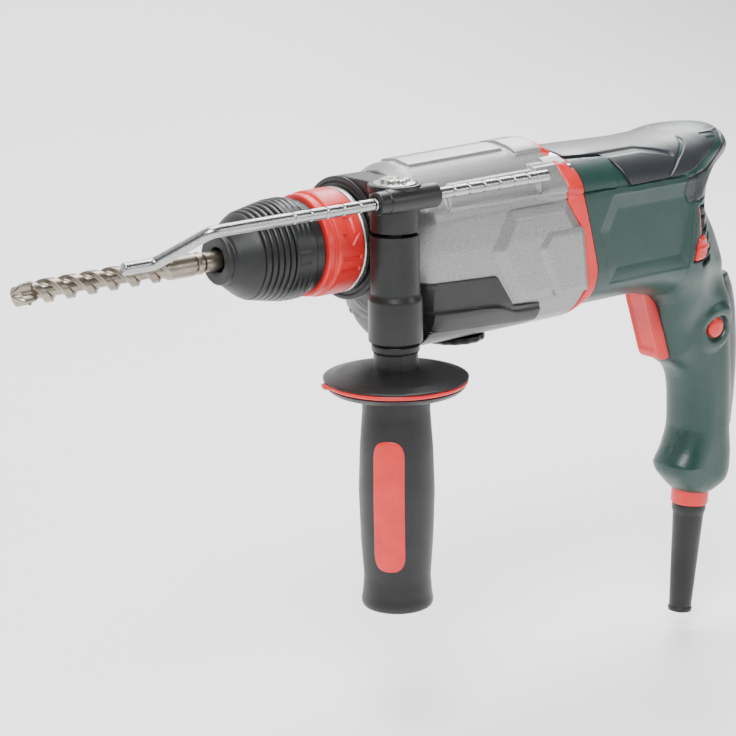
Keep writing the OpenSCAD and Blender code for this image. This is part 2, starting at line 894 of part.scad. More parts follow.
module piston() {
    r = bore_r - run_gap;
    slot = finger_r / cos(wobble_tilt) + yoke_h * tan(wobble_tilt) + 0.5;
    side = finger_r + 0.4;
    yoke_w = r - 2.5;
    color("lightgray") placed()
        difference() {
            union() {
                x_rod(piston_front, piston_rear, r);
                box_between([piston_rear - 1, -yoke_w, -yoke_h], [piston_rear + 14, yoke_w, yoke_h]);
            }
            box_between([wobble_x - slot, -side, -yoke_h - 1], [wobble_x + slot, side, yoke_h + 1]);
        }
}

module wobble_bearing() {
    color("silver") placed()
        union() {
            translate([0, 0, counter_z])
                x_tube(wobble_x - wobble_w, wobble_x + wobble_w, wobble_ring_r, counter_r + 2.5);
            translate([wobble_x, 0, 0])
                z_rod(counter_z + wobble_ring_r - 1.5, 2, finger_r);
        }
}

module countershaft() {
    color("slategray") placed()
        union() {
            translate([0, 0, counter_z])
                x_rod(plate_x[0] + 0.5, counter_rear, counter_r);
            translate([0, 0, counter_z])
                x_gear(spindle_gear_x - 1.5, spindle_gear_x + spindle_gear_w + 1.5, counter_teeth, gear_m, 0.1,
                    90 + 180 / counter_teeth);
            translate([0, 0, counter_z])
                x_gear(drive_gear_x, drive_gear_x + drive_gear_w, drive_teeth, drive_m, 0.08, 90);
        }
}

module counter_bearings() {
    color("lightgray") placed()
        translate([0, 0, counter_z])
            for (x = [plate_x[0], plate_x[2]])
                x_tube(x, x + plate_t, counter_seat_r, counter_r + run_gap);
}

// ---- Motor ----

module armature_shaft() {
    color("silver") placed()
        translate([0, 0, motor_z])
            union() {
                x_rod(counter_rear + 0.5, motor_rear - 1, motor_shaft_r);
                x_rod(counter_rear - 1, counter_rear + 1, motor_shaft_r * 0.6);
                x_gear(drive_gear_x - 0.5, counter_rear, pinion_teeth, drive_m, 0.08, -90 + 180 / pinion_teeth);
            }
}

module armature_core() {
    color("#8a4b2a") placed()
        translate([0, 0, motor_z])
            x_tube(core_front, core_front + armature_len, armature_d / 2, motor_shaft_r);
}

module commutator() {
    color("#b87333") placed()
        translate([0, 0, motor_z])
            x_tube(brush_x, brush_x + 14, commutator_d / 2, motor_shaft_r);
}

module cooling_fan() {
    r = 28;
    color("#303134") placed()
        translate([0, 0, motor_z])
            difference() {
                union() {
                    x_tube(flange_rear + 4.4, flange_rear + 6, r, motor_shaft_r);
                    x_tube(flange_rear + 1, flange_rear + 6, 8, motor_shaft_r);
                    for (k = [0:10])
                        rotate([360 * k / 11 + 8, 0, 0])
                            box_between([flange_rear + 3.4, 10, -0.7], [flange_rear + 5, r - 1, 0.7]);
                }
                x_rod(flange_rear, flange_rear + 8, motor_shaft_r);
            }
}

module motor_bearings() {
    color("lightgray") placed()
        translate([0, 0, motor_z]) {
            x_tube(flange_front + 3, flange_front + 10, motor_seat_r, motor_shaft_r + run_gap);
            x_tube(motor_rear - 8, motor_rear - 2, rear_seat_r, motor_shaft_r + run_gap);
        }
}

module stator() {
    color("#6d6f72") placed()
        translate([0, 0, motor_z])
            x_tube(core_front - 0.5, core_front + armature_len + 2, stator_d / 2, armature_d / 2 + 0.8);
}

module brush_slots() {
    for (side = [-1, 1])
        box_between([brush_x + 3, side > 0 ? commutator_d / 2 + 0.4 : -brush_ring_r + 1.5, motor_z - 3],
            [brush_x + 11, side > 0 ? brush_ring_r - 1.5 : -commutator_d / 2 - 0.4, motor_z + 3]);
}

module brush_ring() {
    color("#3a3b3e") placed()
        difference() {
            union() {
                translate([0, 0, motor_z])
                    x_tube(brush_x + 1, brush_x + 13, brush_ring_r, commutator_d / 2 + 5);
                slider_arc(brush_x + 12, motor_rear + 8, 25, 27.5, 0);
            }
            brush_slots();
        }
}

module carbon_brushes() {
    color("#404040") placed() brush_slots();
}

// ---- Controls ----

module slider_arc(x0, x1, r_in, r_out, more) {
    // a sector about the motor axis, opened further towards the other position
    a0 = slider_high - more;
    a1 = slider_low + (more > 0 ? 2 : 0);
    steps = 8;
    translate([0, 0, motor_z])
        x_bar(x0, x1, concat(
            [for (i = [0:steps]) let (a = a0 + (a1 - a0) * i / steps) [r_out * cos(a), r_out * sin(a)]],
            [for (i = [steps:-1:0]) let (a = a0 + (a1 - a0) * i / steps) [r_in * cos(a), r_in * sin(a)]]));
}

module direction_slider() {
    color("#e0383c") placed()
        slider_arc(slider_front, slider_rear, 27.5, half_w + 5.5, 0);
}

module trigger() {
    hw = trigger_w / 2;
    stem_w = hw - 4;
    color("#e2413f") placed() {
        side_slab(trigger_outline, -hw, hw);
        box_between([trigger_rear - 9, -stem_w, -90], [stem_rear, stem_w, -74]);
    }
}

module switch_module() {
    hw = grip_w / 2 - wall - switch_gap;
    color("#222326") placed()
        difference() {
            box_between([319.5, -hw, -99], [343.5, hw, -73]);
            translate([button_x, 0, button_z])
                y_rod(-hw - 1, -hw + lock_stroke + 1.5, lock_pin_r + 0.7);
        }
}

module lock_button() {
    y0 = -grip_w / 2;
    color("#e2413f") placed()
        translate([button_x, 0, button_z]) {
            y_rod(y0 - 2.2, y0 + wall + 1.4, button_d / 2);
            y_rod(y0 + wall + 1, y0 + wall + 3.6, lock_pin_r);
        }
}

// ---- Motor housing and rear handle ----

module intermediate_ring() {
    color("#e0383c") placed()
        difference() {
            intersection() {
                x_bar(gearbox_rear - 1, motor_front + 20, gearbox_section);
                side_slab(concat(gearbox_edge, reversed(ring_edge)), -reach_z, reach_z);
            }
            x_bar(gearbox_rear - 2, motor_front + 21, gearbox_cavity);
        }
}

module motor_housing() {
    color("#1d3b33") placed()
        union() {
            difference() {
                intersection() {
                    x_bar(motor_front - 2, motor_rear, motor_section);
                    side_slab(concat(ring_edge, [[motor_rear, -reach_z], [motor_rear, reach_z]]),
                        -reach_z, reach_z);
                }
                x_bar(motor_front - 3, motor_rear + 1, motor_cavity);
            }
            difference() {
                intersection() {
                    x_bar(motor_rear - 8, motor_rear - 2, motor_section);
                    union() {
                        box_between([motor_rear - 8, -reach_z, motor_z + 4],
                            [motor_rear - 2, reach_z, motor_z + 12]);
                        translate([0, 0, motor_z])
                            x_rod(motor_rear - 8, motor_rear - 2, 13);
                    }
                }
                translate([0, 0, motor_z])
                    x_rod(motor_rear - 9, motor_rear, rear_seat_r);
            }
        }
}

module top_cover() {
    grow = round_box(body_w + 3, motor_h + 3, body_r + 1.5, body_mid_z);
    outline = [[motor_front + 15, reach_z], [motor_front + 15, 29], [motor_front + 34, 10.9],
        [motor_rear - 0.2, 10.9], [motor_rear - 0.2, reach_z]];
    color("#33373b") placed()
        intersection() {
            side_slab(outline, -reach_z, reach_z);
            difference() {
                x_bar(motor_front, motor_rear + 20, grow);
                x_bar(motor_front - 1, motor_rear + 21, motor_section);
            }
        }
}

module plan_taper(inset) {
    w = half_w - inset;
    taper = [[motor_rear - 2, 0], [motor_rear + 5, 0], [316, 5], [334, 14], [350, 26]];
    translate([0, 0, -reach_z])
        linear_extrude(height = 2 * reach_z)
            polygon([for (side = [-1, 1], k = [0:4])
                let (p = taper[side < 0 ? k : 4 - k]) [p[0], side * (w - p[1])]]);
}

module handle_body() {
    difference() {
        union() {
            intersection() {
                x_bar(motor_rear, 352, round_box(body_w, motor_h + 4.4, body_r, body_mid_z));
                side_slab(upper_outline, -reach_z, reach_z);
                plan_taper(0);
            }
            side_slab(grip_outline, -grip_w / 2, grip_w / 2);
        }
        intersection() {
            x_bar(motor_rear - 2, 345, motor_cavity);
            side_slab(upper_space, -reach_z, reach_z);
            plan_taper(wall);
        }
        difference() {
            side_slab(grip_space, -grip_w / 2 + wall, grip_w / 2 - wall);
            for (p = handle_screw_at)
                translate([p[0], 0, p[1]])
                    y_rod(-grip_w / 2, grip_w / 2, screw_boss_r);
        }
        box_between([279, -trigger_w / 2 - free_gap, trigger_low - free_gap],
            [trigger_rear + trigger_stroke + free_gap, trigger_w / 2 + free_gap, motor_bottom - free_gap]);
        box_between([306, -grip_w / 2 + wall, motor_bottom - 8],
            [340, grip_w / 2 - wall, motor_bottom + 8]);
        slider_arc(slider_front - 0.5, slider_rear + 0.5, 24, half_w + 12, slider_turn + 1);
        placed_gland()
            z_rod(-8, 14, gland_r);
        translate([button_x, 0, button_z])
            y_rod(-grip_w / 2 - 1, 0, button_d / 2 + free_gap);
        for (p = handle_screw_at)
            translate([p[0], 0, p[1]]) {
                y_rod(0, grip_w / 2 + 1, 2);
                y_rod(grip_w / 2 - 1.2, grip_w / 2 + 1, 3.6);
            }
    }
}

module handle_shell_left() {
    color("#1d3b33") placed()
        intersection() {
            handle_body();
            box_between([280, -reach_z, -300], [400, 0, reach_z]);
        }
}

module handle_shell_right() {
    color("#1d3b33") placed()
        intersection() {
            handle_body();
            box_between([280, 0, -300], [400, reach_z, reach_z]);
        }
}

module back_pad() {
    hw = grip_w / 2 - 3;
    color("#3b3f43") placed()
        side_slab([[349.6, motor_bottom], [357.5, -108], [358, -152.5], [363.5, -152.5], [364.5, -108],
            [362, -77], [356, motor_bottom - 1]], -hw, hw);
}

module handle_screws() {
    color("darkgray") placed()
        for (p = handle_screw_at)
            translate([p[0], 0, p[1]]) {
                y_rod(2, grip_w / 2 - 1, 2);
                y_rod(grip_w / 2 - 1.2, grip_w / 2 - 0.2, 3.6);
            }
}

// ---- Cable exit ----

module placed_gland() {
    translate([gland_x, 0, handle_low])
        rotate([0, gland_tilt, 0])
            children();
}

module cable_gland() {
    color("#e0383c") placed()
        placed_gland()
            difference() {
                z_rod(-6, 12, gland_r);
                z_rod(-7, 13, cable_bore / 2);
            }
}

module bend_sleeve() {
    color("#1b1c1e") placed()
        placed_gland()
            difference() {
                rotate_extrude()
                    polygon([[0, -6], [bend_d / 2, -6], [bend_d / 2, -9], [bend_d / 2 - 1, -22],
                        [bend_d / 2 - 3.4, -6 - bend_len], [0, -6 - bend_len]]);
                z_rod(-7 - bend_len, -5, cable_bore / 2);
            }
}

drill_bit();
dust_cap();
locking_sleeve();
chuck_body();
locking_balls();
chuck_spring();
quick_release_ring();
retaining_ring();
nose_collar();
handle_upper_jaw();
handle_lower_jaw();
clamp_bolt();
handle_neck();
guard_disc();
damping_ring();
grip_core();
grip_sleeve();
grip_inlay();
depth_stop_rod();
gearbox_housing();
side_plate_left();
side_plate_right();
lower_cover_left();
lower_cover_right();
gear_bracket();
motor_flange();
housing_screws();
mode_knob();
knob_pointer();
spindle();
spindle_gear();
spindle_bearing();
anvil();
striker();
piston();
wobble_bearing();
countershaft();
counter_bearings();
armature_shaft();
armature_core();
commutator();
cooling_fan();
motor_bearings();
stator();
brush_ring();
carbon_brushes();
direction_slider();
intermediate_ring();
motor_housing();
top_cover();
handle_shell_left();
handle_shell_right();
back_pad();
trigger();
switch_module();
lock_button();
handle_screws();
cable_gland();
bend_sleeve();
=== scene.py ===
import math

import bpy
import numpy as np
from mathutils import Matrix, Vector


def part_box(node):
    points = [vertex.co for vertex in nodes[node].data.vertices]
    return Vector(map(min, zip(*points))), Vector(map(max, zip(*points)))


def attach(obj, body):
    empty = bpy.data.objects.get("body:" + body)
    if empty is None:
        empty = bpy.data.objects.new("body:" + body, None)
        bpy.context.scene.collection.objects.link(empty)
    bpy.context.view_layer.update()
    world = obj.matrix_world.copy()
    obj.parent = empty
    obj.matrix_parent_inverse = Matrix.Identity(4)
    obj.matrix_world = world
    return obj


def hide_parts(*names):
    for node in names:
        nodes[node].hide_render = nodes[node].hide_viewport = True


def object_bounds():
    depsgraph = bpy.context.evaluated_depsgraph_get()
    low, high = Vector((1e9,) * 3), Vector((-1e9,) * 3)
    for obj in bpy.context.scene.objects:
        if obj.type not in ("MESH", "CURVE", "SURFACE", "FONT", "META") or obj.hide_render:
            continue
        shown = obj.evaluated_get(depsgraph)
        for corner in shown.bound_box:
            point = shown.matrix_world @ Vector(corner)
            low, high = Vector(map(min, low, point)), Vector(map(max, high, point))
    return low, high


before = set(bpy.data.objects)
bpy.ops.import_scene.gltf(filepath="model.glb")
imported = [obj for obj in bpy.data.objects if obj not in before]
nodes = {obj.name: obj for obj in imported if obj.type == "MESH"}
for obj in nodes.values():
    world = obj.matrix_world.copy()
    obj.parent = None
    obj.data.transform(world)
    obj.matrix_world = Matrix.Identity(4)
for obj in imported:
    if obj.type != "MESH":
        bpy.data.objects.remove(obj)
cad_low, cad_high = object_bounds()

# ---------------------------------------------------------------- the bench and the light
# The tool stands in front of a plain pale sweep. One large soft light above, one on the
# left and a weak one behind give long highlights on the round parts.

CAMERA_AZIMUTH = -38.58
CAMERA_ELEVATION = 15.1
CAMERA_ROLL = 0.61
CAMERA_LENS = 122.47
CAMERA_PLACE = (-688.8, -980.6, 267.2)

# The nose datum, which all stations along the drill axis are counted from in millimetres,
# lies 1.4 mm behind the front of the dust cap.
CAP_OVERHANG = 1.4
nose_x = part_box("dust_cap")[0].x * 1000 + CAP_OVERHANG

angle, rise, roll = (math.radians(d) for d in (CAMERA_AZIMUTH, CAMERA_ELEVATION, CAMERA_ROLL))
back = Vector((math.sin(angle) * math.cos(rise), -math.cos(angle) * math.cos(rise), math.sin(rise)))
right = (-back).cross(Vector((0, 0, 1))).normalized()
above = right.cross(-back)
side_axis = math.cos(roll) * right - math.sin(roll) * above
up_axis = math.sin(roll) * right + math.cos(roll) * above
camera = bpy.data.objects.new("camera", bpy.data.cameras.new("camera"))
camera.data.lens = CAMERA_LENS
camera.data.clip_end = 20
camera_at = (Vector(CAMERA_PLACE) + Vector((nose_x, 0, 0))) / 1000
camera_turn = Matrix((side_axis, up_axis, back)).transposed().to_4x4()
camera.matrix_world = Matrix.Translation(camera_at) @ camera_turn
bpy.context.scene.collection.objects.link(camera)
bpy.context.scene.camera = camera


def soft_light(name, place, aim, size, power):
    """A square area light of that size in metres at place, turned to face aim."""
    lamp = bpy.data.lights.new(name, "AREA")
    lamp.size = size
    lamp.energy = power
    holder = bpy.data.objects.new(name, lamp)
    holder.location = place
    holder.rotation_euler = (Vector(aim) - Vector(place)).to_track_quat("-Z", "Y").to_euler()
    bpy.context.scene.collection.objects.link(holder)


middle = (cad_low + cad_high) / 2
soft_light("key_light", (-1.1, -0.9, 1.3), middle, 0.6, 42)
soft_light("top_light", (0.15, 0.35, 1.5), middle, 0.9, 34)
soft_light("fill_light", (0.9, -1.5, 0.6), middle, 0.5, 7)
soft_light("rim_light", (0.9, 0.9, 0.9), middle, 0.5, 16)

world = bpy.data.worlds.new("studio")
world.use_nodes = True
world.node_tree.nodes["Background"].inputs["Color"].default_value = (0.93, 0.95, 0.97, 1)
world.node_tree.nodes["Background"].inputs["Strength"].default_value = 0.16
bpy.context.scene.world = world

FLOOR_DROP = 0.012
floor_z = cad_low.z - FLOOR_DROP
SWEEP_START, SWEEP_RADIUS = 0.6, 1.4
sweep_turn = np.linspace(0, np.pi / 2, 12)
sweep_y = np.concatenate([[-6, -2, SWEEP_START], SWEEP_START + SWEEP_RADIUS * np.sin(sweep_turn), [2]])
sweep_z = np.concatenate([[0, 0, 0], SWEEP_RADIUS * (1 - np.cos(sweep_turn)), [6]])
sweep_x = np.array([-7.0, 7.0])
sweep_grid = np.broadcast_arrays(sweep_x[None, :], sweep_y[:, None], floor_z + sweep_z[:, None])
sweep_points = np.stack(sweep_grid, -1)
sweep = bpy.data.meshes.new("backdrop")
sweep_faces = [(2 * i, 2 * i + 1, 2 * i + 3, 2 * i + 2) for i in range(len(sweep_y) - 1)]
sweep.from_pydata(sweep_points.reshape(-1, 3).tolist(), [], sweep_faces)
sweep.shade_smooth()
backdrop = bpy.data.objects.new("backdrop", sweep)
bpy.context.scene.collection.objects.link(backdrop)


class Finish:
    """A procedural material: its node tree, with handles to the shader and the coordinates."""

    def __init__(self, name, color, rough, metal=0.0, **sockets):
        self.material = bpy.data.materials.new(name)
        self.material.use_nodes = True
        self.tree = self.material.node_tree
        self.shader = self.tree.nodes["Principled BSDF"]
        self.shader.inputs["Base Color"].default_value = (*color, 1)
        self.shader.inputs["Roughness"].default_value = rough
        self.shader.inputs["Metallic"].default_value = metal
        for socket, value in sockets.items():
            self.shader.inputs[socket.replace("_", " ")].default_value = value
        self.where = self.node("ShaderNodeTexCoord").outputs["Object"]
        self.height = None

    def node(self, kind, **values):
        """Adds a node; each value is a socket's default or, if it is a socket itself, a link."""
        made = self.tree.nodes.new(kind)
        for key, value in values.items():
            target = made.inputs[key.replace("_", " ")]
            if isinstance(value, bpy.types.NodeSocket):
                self.tree.links.new(value, target)
            else:
                target.default_value = value
        return made

    def link(self, source, socket):
        """Feeds one of the shader's own sockets."""
        self.tree.links.new(source, self.shader.inputs[socket])

    def noise(self, scale, detail=4.0, rough=0.55, stretch=None):
        """Cloudy noise at that scale (per metre), optionally stretched along the axes."""
        where = self.where
        if stretch:
            where = self.node("ShaderNodeMapping", Vector=where, Scale=stretch).outputs[0]
        sizes = dict(Scale=scale, Detail=detail, Roughness=rough)
        return self.node("ShaderNodeTexNoise", Vector=where, **sizes).outputs["Fac"]

    def cells(self, scale, feature="F1"):
        """Distance to scattered points at that scale (per metre)."""
        made = self.node("ShaderNodeTexVoronoi", Vector=self.where, Scale=scale)
        made.feature = feature
        return made

    def ramp(self, factor, stops):
        """Colour ramp through stops of (position, colour)."""
        made = self.node("ShaderNodeValToRGB", Fac=factor)
        ends = made.color_ramp.elements
        while len(ends) < len(stops):
            ends.new(0.5)
        for end, (position, color) in zip(ends, stops):
            end.position = position
            end.color = (*color, 1)
        return made.outputs["Color"]

    def spread(self, factor, low, high, from_low=0.0, from_high=1.0):
        """Rescales a value to run from low to high."""
        made = self.node("ShaderNodeMapRange", Value=factor)
        limits = {"From Min": from_low, "From Max": from_high, "To Min": low, "To Max": high}
        for key, value in limits.items():
            made.inputs[key].default_value = value
        return made.outputs[0]

    def mix(self, factor, a, b, way="MIX"):
        """Mixes two colours by a factor; each is a socket or a colour."""
        made = self.tree.nodes.new("ShaderNodeMix")
        made.data_type = "RGBA"
        made.blend_type = way
        for socket, value in ((made.inputs[0], factor), (made.inputs[6], a), (made.inputs[7], b)):
            if isinstance(value, bpy.types.NodeSocket):
                self.tree.links.new(value, socket)
            else:
                socket.default_value = (*value, 1) if isinstance(value, tuple) else value
        return made.outputs[2]

    def attribute(self, name):
        """The mark of that name, one number per vertex."""
        made = self.node("ShaderNodeAttribute")
        made.attribute_name = name
        return made.outputs["Fac"]

    def bump(self, height, strength, distance):
        """Chains a bump onto the shader's normal; distance is in metres."""
        made = self.node("ShaderNodeBump", Height=height, Strength=strength, Distance=distance)
        if self.height:
            self.tree.links.new(self.height.outputs[0], made.inputs["Normal"])
        self.height = made
        self.link(made.outputs[0], "Normal")


def paper_finish():
    """Matt white paper with slow cloudy changes of tint and a faint glow of its own."""
    glow = dict(Emission_Color=(1, 1, 1, 1), Emission_Strength=0.5)
    paper = Finish("backdrop_paper", (0.9, 0.9, 0.9), 0.95, **glow)
    tint = paper.ramp(paper.noise(3, 2), [(0.3, (0.90, 0.90, 0.90)), (0.7, (0.93, 0.93, 0.93))])
    paper.link(tint, "Base Color")
    return paper.material


backdrop.data.materials.append(paper_finish())

# ---------------------------------------------------------------- metal works inside the housings
# Ground and hardened steel, die-cast alloy, copper windings and carbon run inside the closed
# housings. The drawn parts are already right in shape, so they only get their finishes.


def steel_finish(name, color, rough, grain=(1, 1, 1)):
    """Ground steel: fine grain along one axis, slow tint changes and tiny scratches."""
    steel = Finish(name, color, rough, 1.0)
    dark = tuple(c * 0.72 for c in color)
    light = tuple(min(1, c * 1.15) for c in color)
    steel.link(steel.ramp(steel.noise(90, 5, 0.6, grain), [(0.25, dark), (0.75, light)]), "Base Color")
    steel.link(steel.spread(steel.noise(260, 4), rough * 0.75, rough * 1.35), "Roughness")
    steel.bump(steel.noise(1500, 3, 0.6, grain), 0.25, 0.0002)
    return steel.material


def cast_finish(name, color, rough, metal):
    """Cast or sintered stock: a grainy skin with shallow pits."""
    cast = Finish(name, color, rough, metal)
    dark = tuple(c * 0.8 for c in color)
    cast.link(cast.ramp(cast.noise(160, 6), [(0.3, dark), (0.7, color)]), "Base Color")
    cast.bump(cast.cells(1400).outputs["Distance"], 0.3, 0.0002)
    return cast.material


ground_steel = steel_finish("ground_steel", (0.60, 0.60, 0.62), 0.24)
bearing_steel = steel_finish("bearing_steel", (0.72, 0.72, 0.73), 0.14)
screw_steel = steel_finish("screw_steel", (0.50, 0.50, 0.50), 0.30)
cast_alloy = cast_finish("cast_alloy", (0.55, 0.55, 0.56), 0.42, 1.0)
lamination = cast_finish("stator_lamination", (0.30, 0.30, 0.31), 0.5, 0.9)
carbon_block = cast_finish("carbon_block", (0.06, 0.06, 0.065), 0.6, 0.2)
copper_wire = steel_finish("copper_winding", (0.62, 0.27, 0.12), 0.32, (8, 1, 1))
dark_moulding = cast_finish("dark_moulding", (0.035, 0.036, 0.038), 0.5, 0.0)

inner_finishes = {
    ground_steel: ("spindle", "spindle_gear", "anvil", "striker", "wobble_bearing", "countershaft",
        "armature_shaft", "chuck_spring"),
    bearing_steel: ("spindle_bearing", "counter_bearings", "motor_bearings", "locking_balls"),
    screw_steel: ("housing_screws", "handle_screws"),
    cast_alloy: ("gear_bracket", "motor_flange", "piston"),
    lamination: ("stator",),
    carbon_block: ("carbon_brushes",),
    copper_wire: ("armature_core", "commutator"),
    dark_moulding: ("cooling_fan", "switch_module", "grip_core", "brush_ring"),
}
for finish, names in inner_finishes.items():
    for name in names:
        nodes[name].data.materials.clear()
        nodes[name].data.materials.append(finish)

# ---------------------------------------------------------------- gearbox housing
# One aluminium casting, painted in metallic silver with a fine sparkle. The roof is round
# about the drill axis, the flanks are three flat facets, and two shoulders run back to a
# raised block on each side.


def rounded(corners, cut, steps=5, closed=True):
    """Outline whose corners are replaced by parabolas: each leaves its edges at the distance
    cut from the corner, or at 45% of the edge. corners is [..., n, 2], so that a whole stack
    of outlines is rounded at once; cut is one distance or one per corner."""
    corners = np.asarray(corners, float)
    before = np.roll(corners, 1, -2) - corners
    after = np.roll(corners, -1, -2) - corners
    length_before = np.linalg.norm(before, axis=-1, keepdims=True) + 1e-9
    length_after = np.linalg.norm(after, axis=-1, keepdims=True) + 1e-9
    cut = np.broadcast_to(np.asarray(cut, float), (corners.shape[-2],))[:, None]
    start = corners + before / length_before * np.minimum(cut, 0.45 * length_before)
    end = corners + after / length_after * np.minimum(cut, 0.45 * length_after)
    if not closed:
        start[..., 0, :] = end[..., 0, :] = corners[..., 0, :]
        start[..., -1, :] = end[..., -1, :] = corners[..., -1, :]
    t = np.linspace(0, 1, steps)[:, None]
    start, middle, end = start[..., None, :], corners[..., None, :], end[..., None, :]
    arcs = (1 - t) ** 2 * start + 2 * t * (1 - t) * middle + t**2 * end
    return arcs.reshape(*corners.shape[:-2], -1, 2)


def evenly(line, count, closed=False):
    """The line again as count points at equal steps of its length."""
    line = np.asarray(line, float)
    if closed:
        line = np.concatenate([line, line[:1]])
    steps = np.linalg.norm(np.diff(line, axis=0), axis=1)
    along = np.concatenate([[0], np.cumsum(steps)])
    at = np.linspace(0, along[-1], count, endpoint=not closed)
    return np.stack([np.interp(at, along, line[:, k]) for k in range(line.shape[1])], -1)


def ease(t):
    """0 below 0, 1 above 1, and a smooth S between."""
    t = np.clip(t, 0, 1)
    return t * t * (3 - 2 * t)


def distance_to(line, a, b):
    """Distance from points (a, b) to an open line, edge by edge."""
    nearest = np.full(a.shape, 1e9)
    for (x0, y0), (x1, y1) in zip(line[:-1], line[1:]):
        dx, dy = x1 - x0, y1 - y0
        t = np.clip(((a - x0) * dx + (b - y0) * dy) / (dx * dx + dy * dy + 1e-12), 0, 1)
        nearest = np.minimum(nearest, np.hypot(a - x0 - t * dx, b - y0 - t * dy))
    return nearest


def inside_by(outline, a, b):
    """How far each point (a, b) lies inside a closed outline, negative outside: the distance
    to the nearest edge, with the sign of the crossing count."""
    outline = np.asarray(outline, float)
    loop = np.concatenate([outline, outline[:1]])
    within = np.zeros(a.shape, bool)
    for (x0, y0), (x1, y1) in zip(loop[:-1], loop[1:]):
        if y0 != y1:
            crosses = (y0 > b) != (y1 > b)
            within ^= crosses & (a < (x1 - x0) * (b - y0) / (y1 - y0) + x0)
    return distance_to(loop, a, b) * np.where(within, 1, -1)


def push(p, depth, wrap_v=True):
    """Moves a grid of points along its own normal (the cross product of its two gradients)."""
    along_u = np.gradient(p, axis=0)
    if wrap_v:
        along_v = (np.roll(p, -1, 1) - np.roll(p, 1, 1)) / 2
    else:
        along_v = np.gradient(p, axis=1)
    normal = np.cross(along_u, along_v)
    normal /= np.linalg.norm(normal, axis=-1, keepdims=True) + 1e-9
    return p + normal * np.asarray(depth)[..., None]


def sheet_of(p, wrap_u=False, wrap_v=True, caps="both"):
    """Vertices and faces of a grid p[u, v]: neighbours are joined by quads, and an open end is
    closed by a fan on its mean point. caps is both, start, end or none."""
    nu, nv = p.shape[:2]
    index = np.arange(nu * nv).reshape(nu, nv)
    rows = np.append(np.arange(nu), 0) if wrap_u else np.arange(nu)
    cols = np.append(np.arange(nv), 0) if wrap_v else np.arange(nv)
    g = index[np.ix_(rows, cols)]
    quads = np.stack([g[:-1, :-1], g[1:, :-1], g[1:, 1:], g[:-1, 1:]], -1).reshape(-1, 4)
    verts = p.reshape(-1, 3)
    faces = quads.tolist()
    for which, row, flip in (("start", 0, False), ("end", nu - 1, True)):
        if caps in ("both", which):
            ring = g[row]
            hub = len(verts)
            verts = np.concatenate([verts, p[row].mean(0)[None]])
            a, b = (ring[1:], ring[:-1]) if flip else (ring[:-1], ring[1:])
            faces += np.stack([a, b, np.full(len(a), hub)], -1).tolist()
    return verts, faces


def outward(verts, faces):
    """The faces, turned round if they enclose a negative volume."""
    tris = np.array([(f[0], f[k], f[k + 1]) for f in faces for k in range(1, len(f) - 1)])
    a, b, c = (verts[tris[:, k]] - verts.mean(0) for k in range(3))
    volume = np.einsum("ij,ij->i", a, np.cross(b, c)).sum()
    return faces if volume > 0 else [f[::-1] for f in faces]


def piece(name, sheets, body, finish, stands_for=(), crease=35, marks=None):
    """One finished piece: joins its sheets, shifts millimetres from the nose datum into the
    row's metres, shades it smooth up to the crease angle, and hangs it on its CAD body.
    marks is {name: values per vertex} for finishes that follow the surface."""
    all_verts, all_faces, base = [], [], 0
    for verts, faces in sheets:
        faces = outward(verts, faces)
        all_faces += [[i + base for i in f] for f in faces]
        all_verts.append(verts)
        base += len(verts)
    points = (np.concatenate(all_verts) + [nose_x, 0, 0]) / 1000
    mesh = bpy.data.meshes.new(name)
    mesh.from_pydata(points.tolist(), [], all_faces)
    mesh.shade_smooth()
    mesh.set_sharp_from_angle(angle=math.radians(crease))
    for mark, values in (marks or {}).items():
        filled = np.zeros(len(points))
        filled[: len(values)] = values
        mesh.attributes.new(mark, "FLOAT", "POINT").data.foreach_set("value", filled)
    mesh.materials.append(finish)
    made = bpy.data.objects.new(name, mesh)
    bpy.context.scene.collection.objects.link(made)
    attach(made, body)
    if stands_for:
        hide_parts(*stands_for)
    return made


def half_loop(half):
    """A closed loop in Y and Z from a half outline that runs from the top down one flank:
    the near flank first, then the far one back up."""
    near = half * [-1, 1]
    return np.concatenate([near, half[-2:0:-1]])


def gearbox_edge(z):
    """X of the casting's rear edge at height z: upright above, then raked back to the corner."""
    heights = [-70, -58, -42, -9, -7.5, 7.5, 9.5, 50]
    return np.interp(z, heights, [209, 211, 215, 209.3, 208.6, 199, 198.4, 198.4])


def ring_edge(z):
    """X of the edge between the red ring and the motor housing at height z."""
    return np.interp(z, [-70, -58, -30, 9.6, 11.5, 50], [221, 221.5, 221, 210.6, 211, 211.6])


GEARBOX_HALF = [(0, 36), (13, 34.2), (24.5, 27), (29.5, 20.5), (35.6, 15.2), (37.6, 9.5), (38.2, -7.2),
    (37.2, -21), (35.4, -42), (29, -54), (15, -61), (0, -61.8)]
gearbox_half = rounded(GEARBOX_HALF, [0, 8, 6, 2.2, 2.5, 1.6, 1.6, 1.6, 3, 6, 8, 0], 6, closed=False)
gearbox_loop = evenly(half_loop(evenly(gearbox_half, 190)), 380, closed=True)

SHOULDER = [(118, 13.8), (121, 20), (126, 24.5), (260, 26.5), (260, 12.6)]
BOSS_BLOCK = [(178, 12.6), (183, 27.5), (260, 27.5), (260, 10.2), (192, 10.2)]
ROOF_STRIP = [(112, -11), (112, 11), (176, 11), (176, -11)]
ROOF_BLOCK = [(180, -17), (180, 17), (260, 17), (260, -17)]
CASTING_FRONT = 98
CASTING_MIDDLE = [0, 0, -13]
HOLLOW_SHARE = 0.93
BORE_RADIUS = 25.2
BLACK_LOW = [(90, -21.6), (149.5, -24.4), (162.6, -42.3), (182, -43.6), (188, -80), (90, -80)]


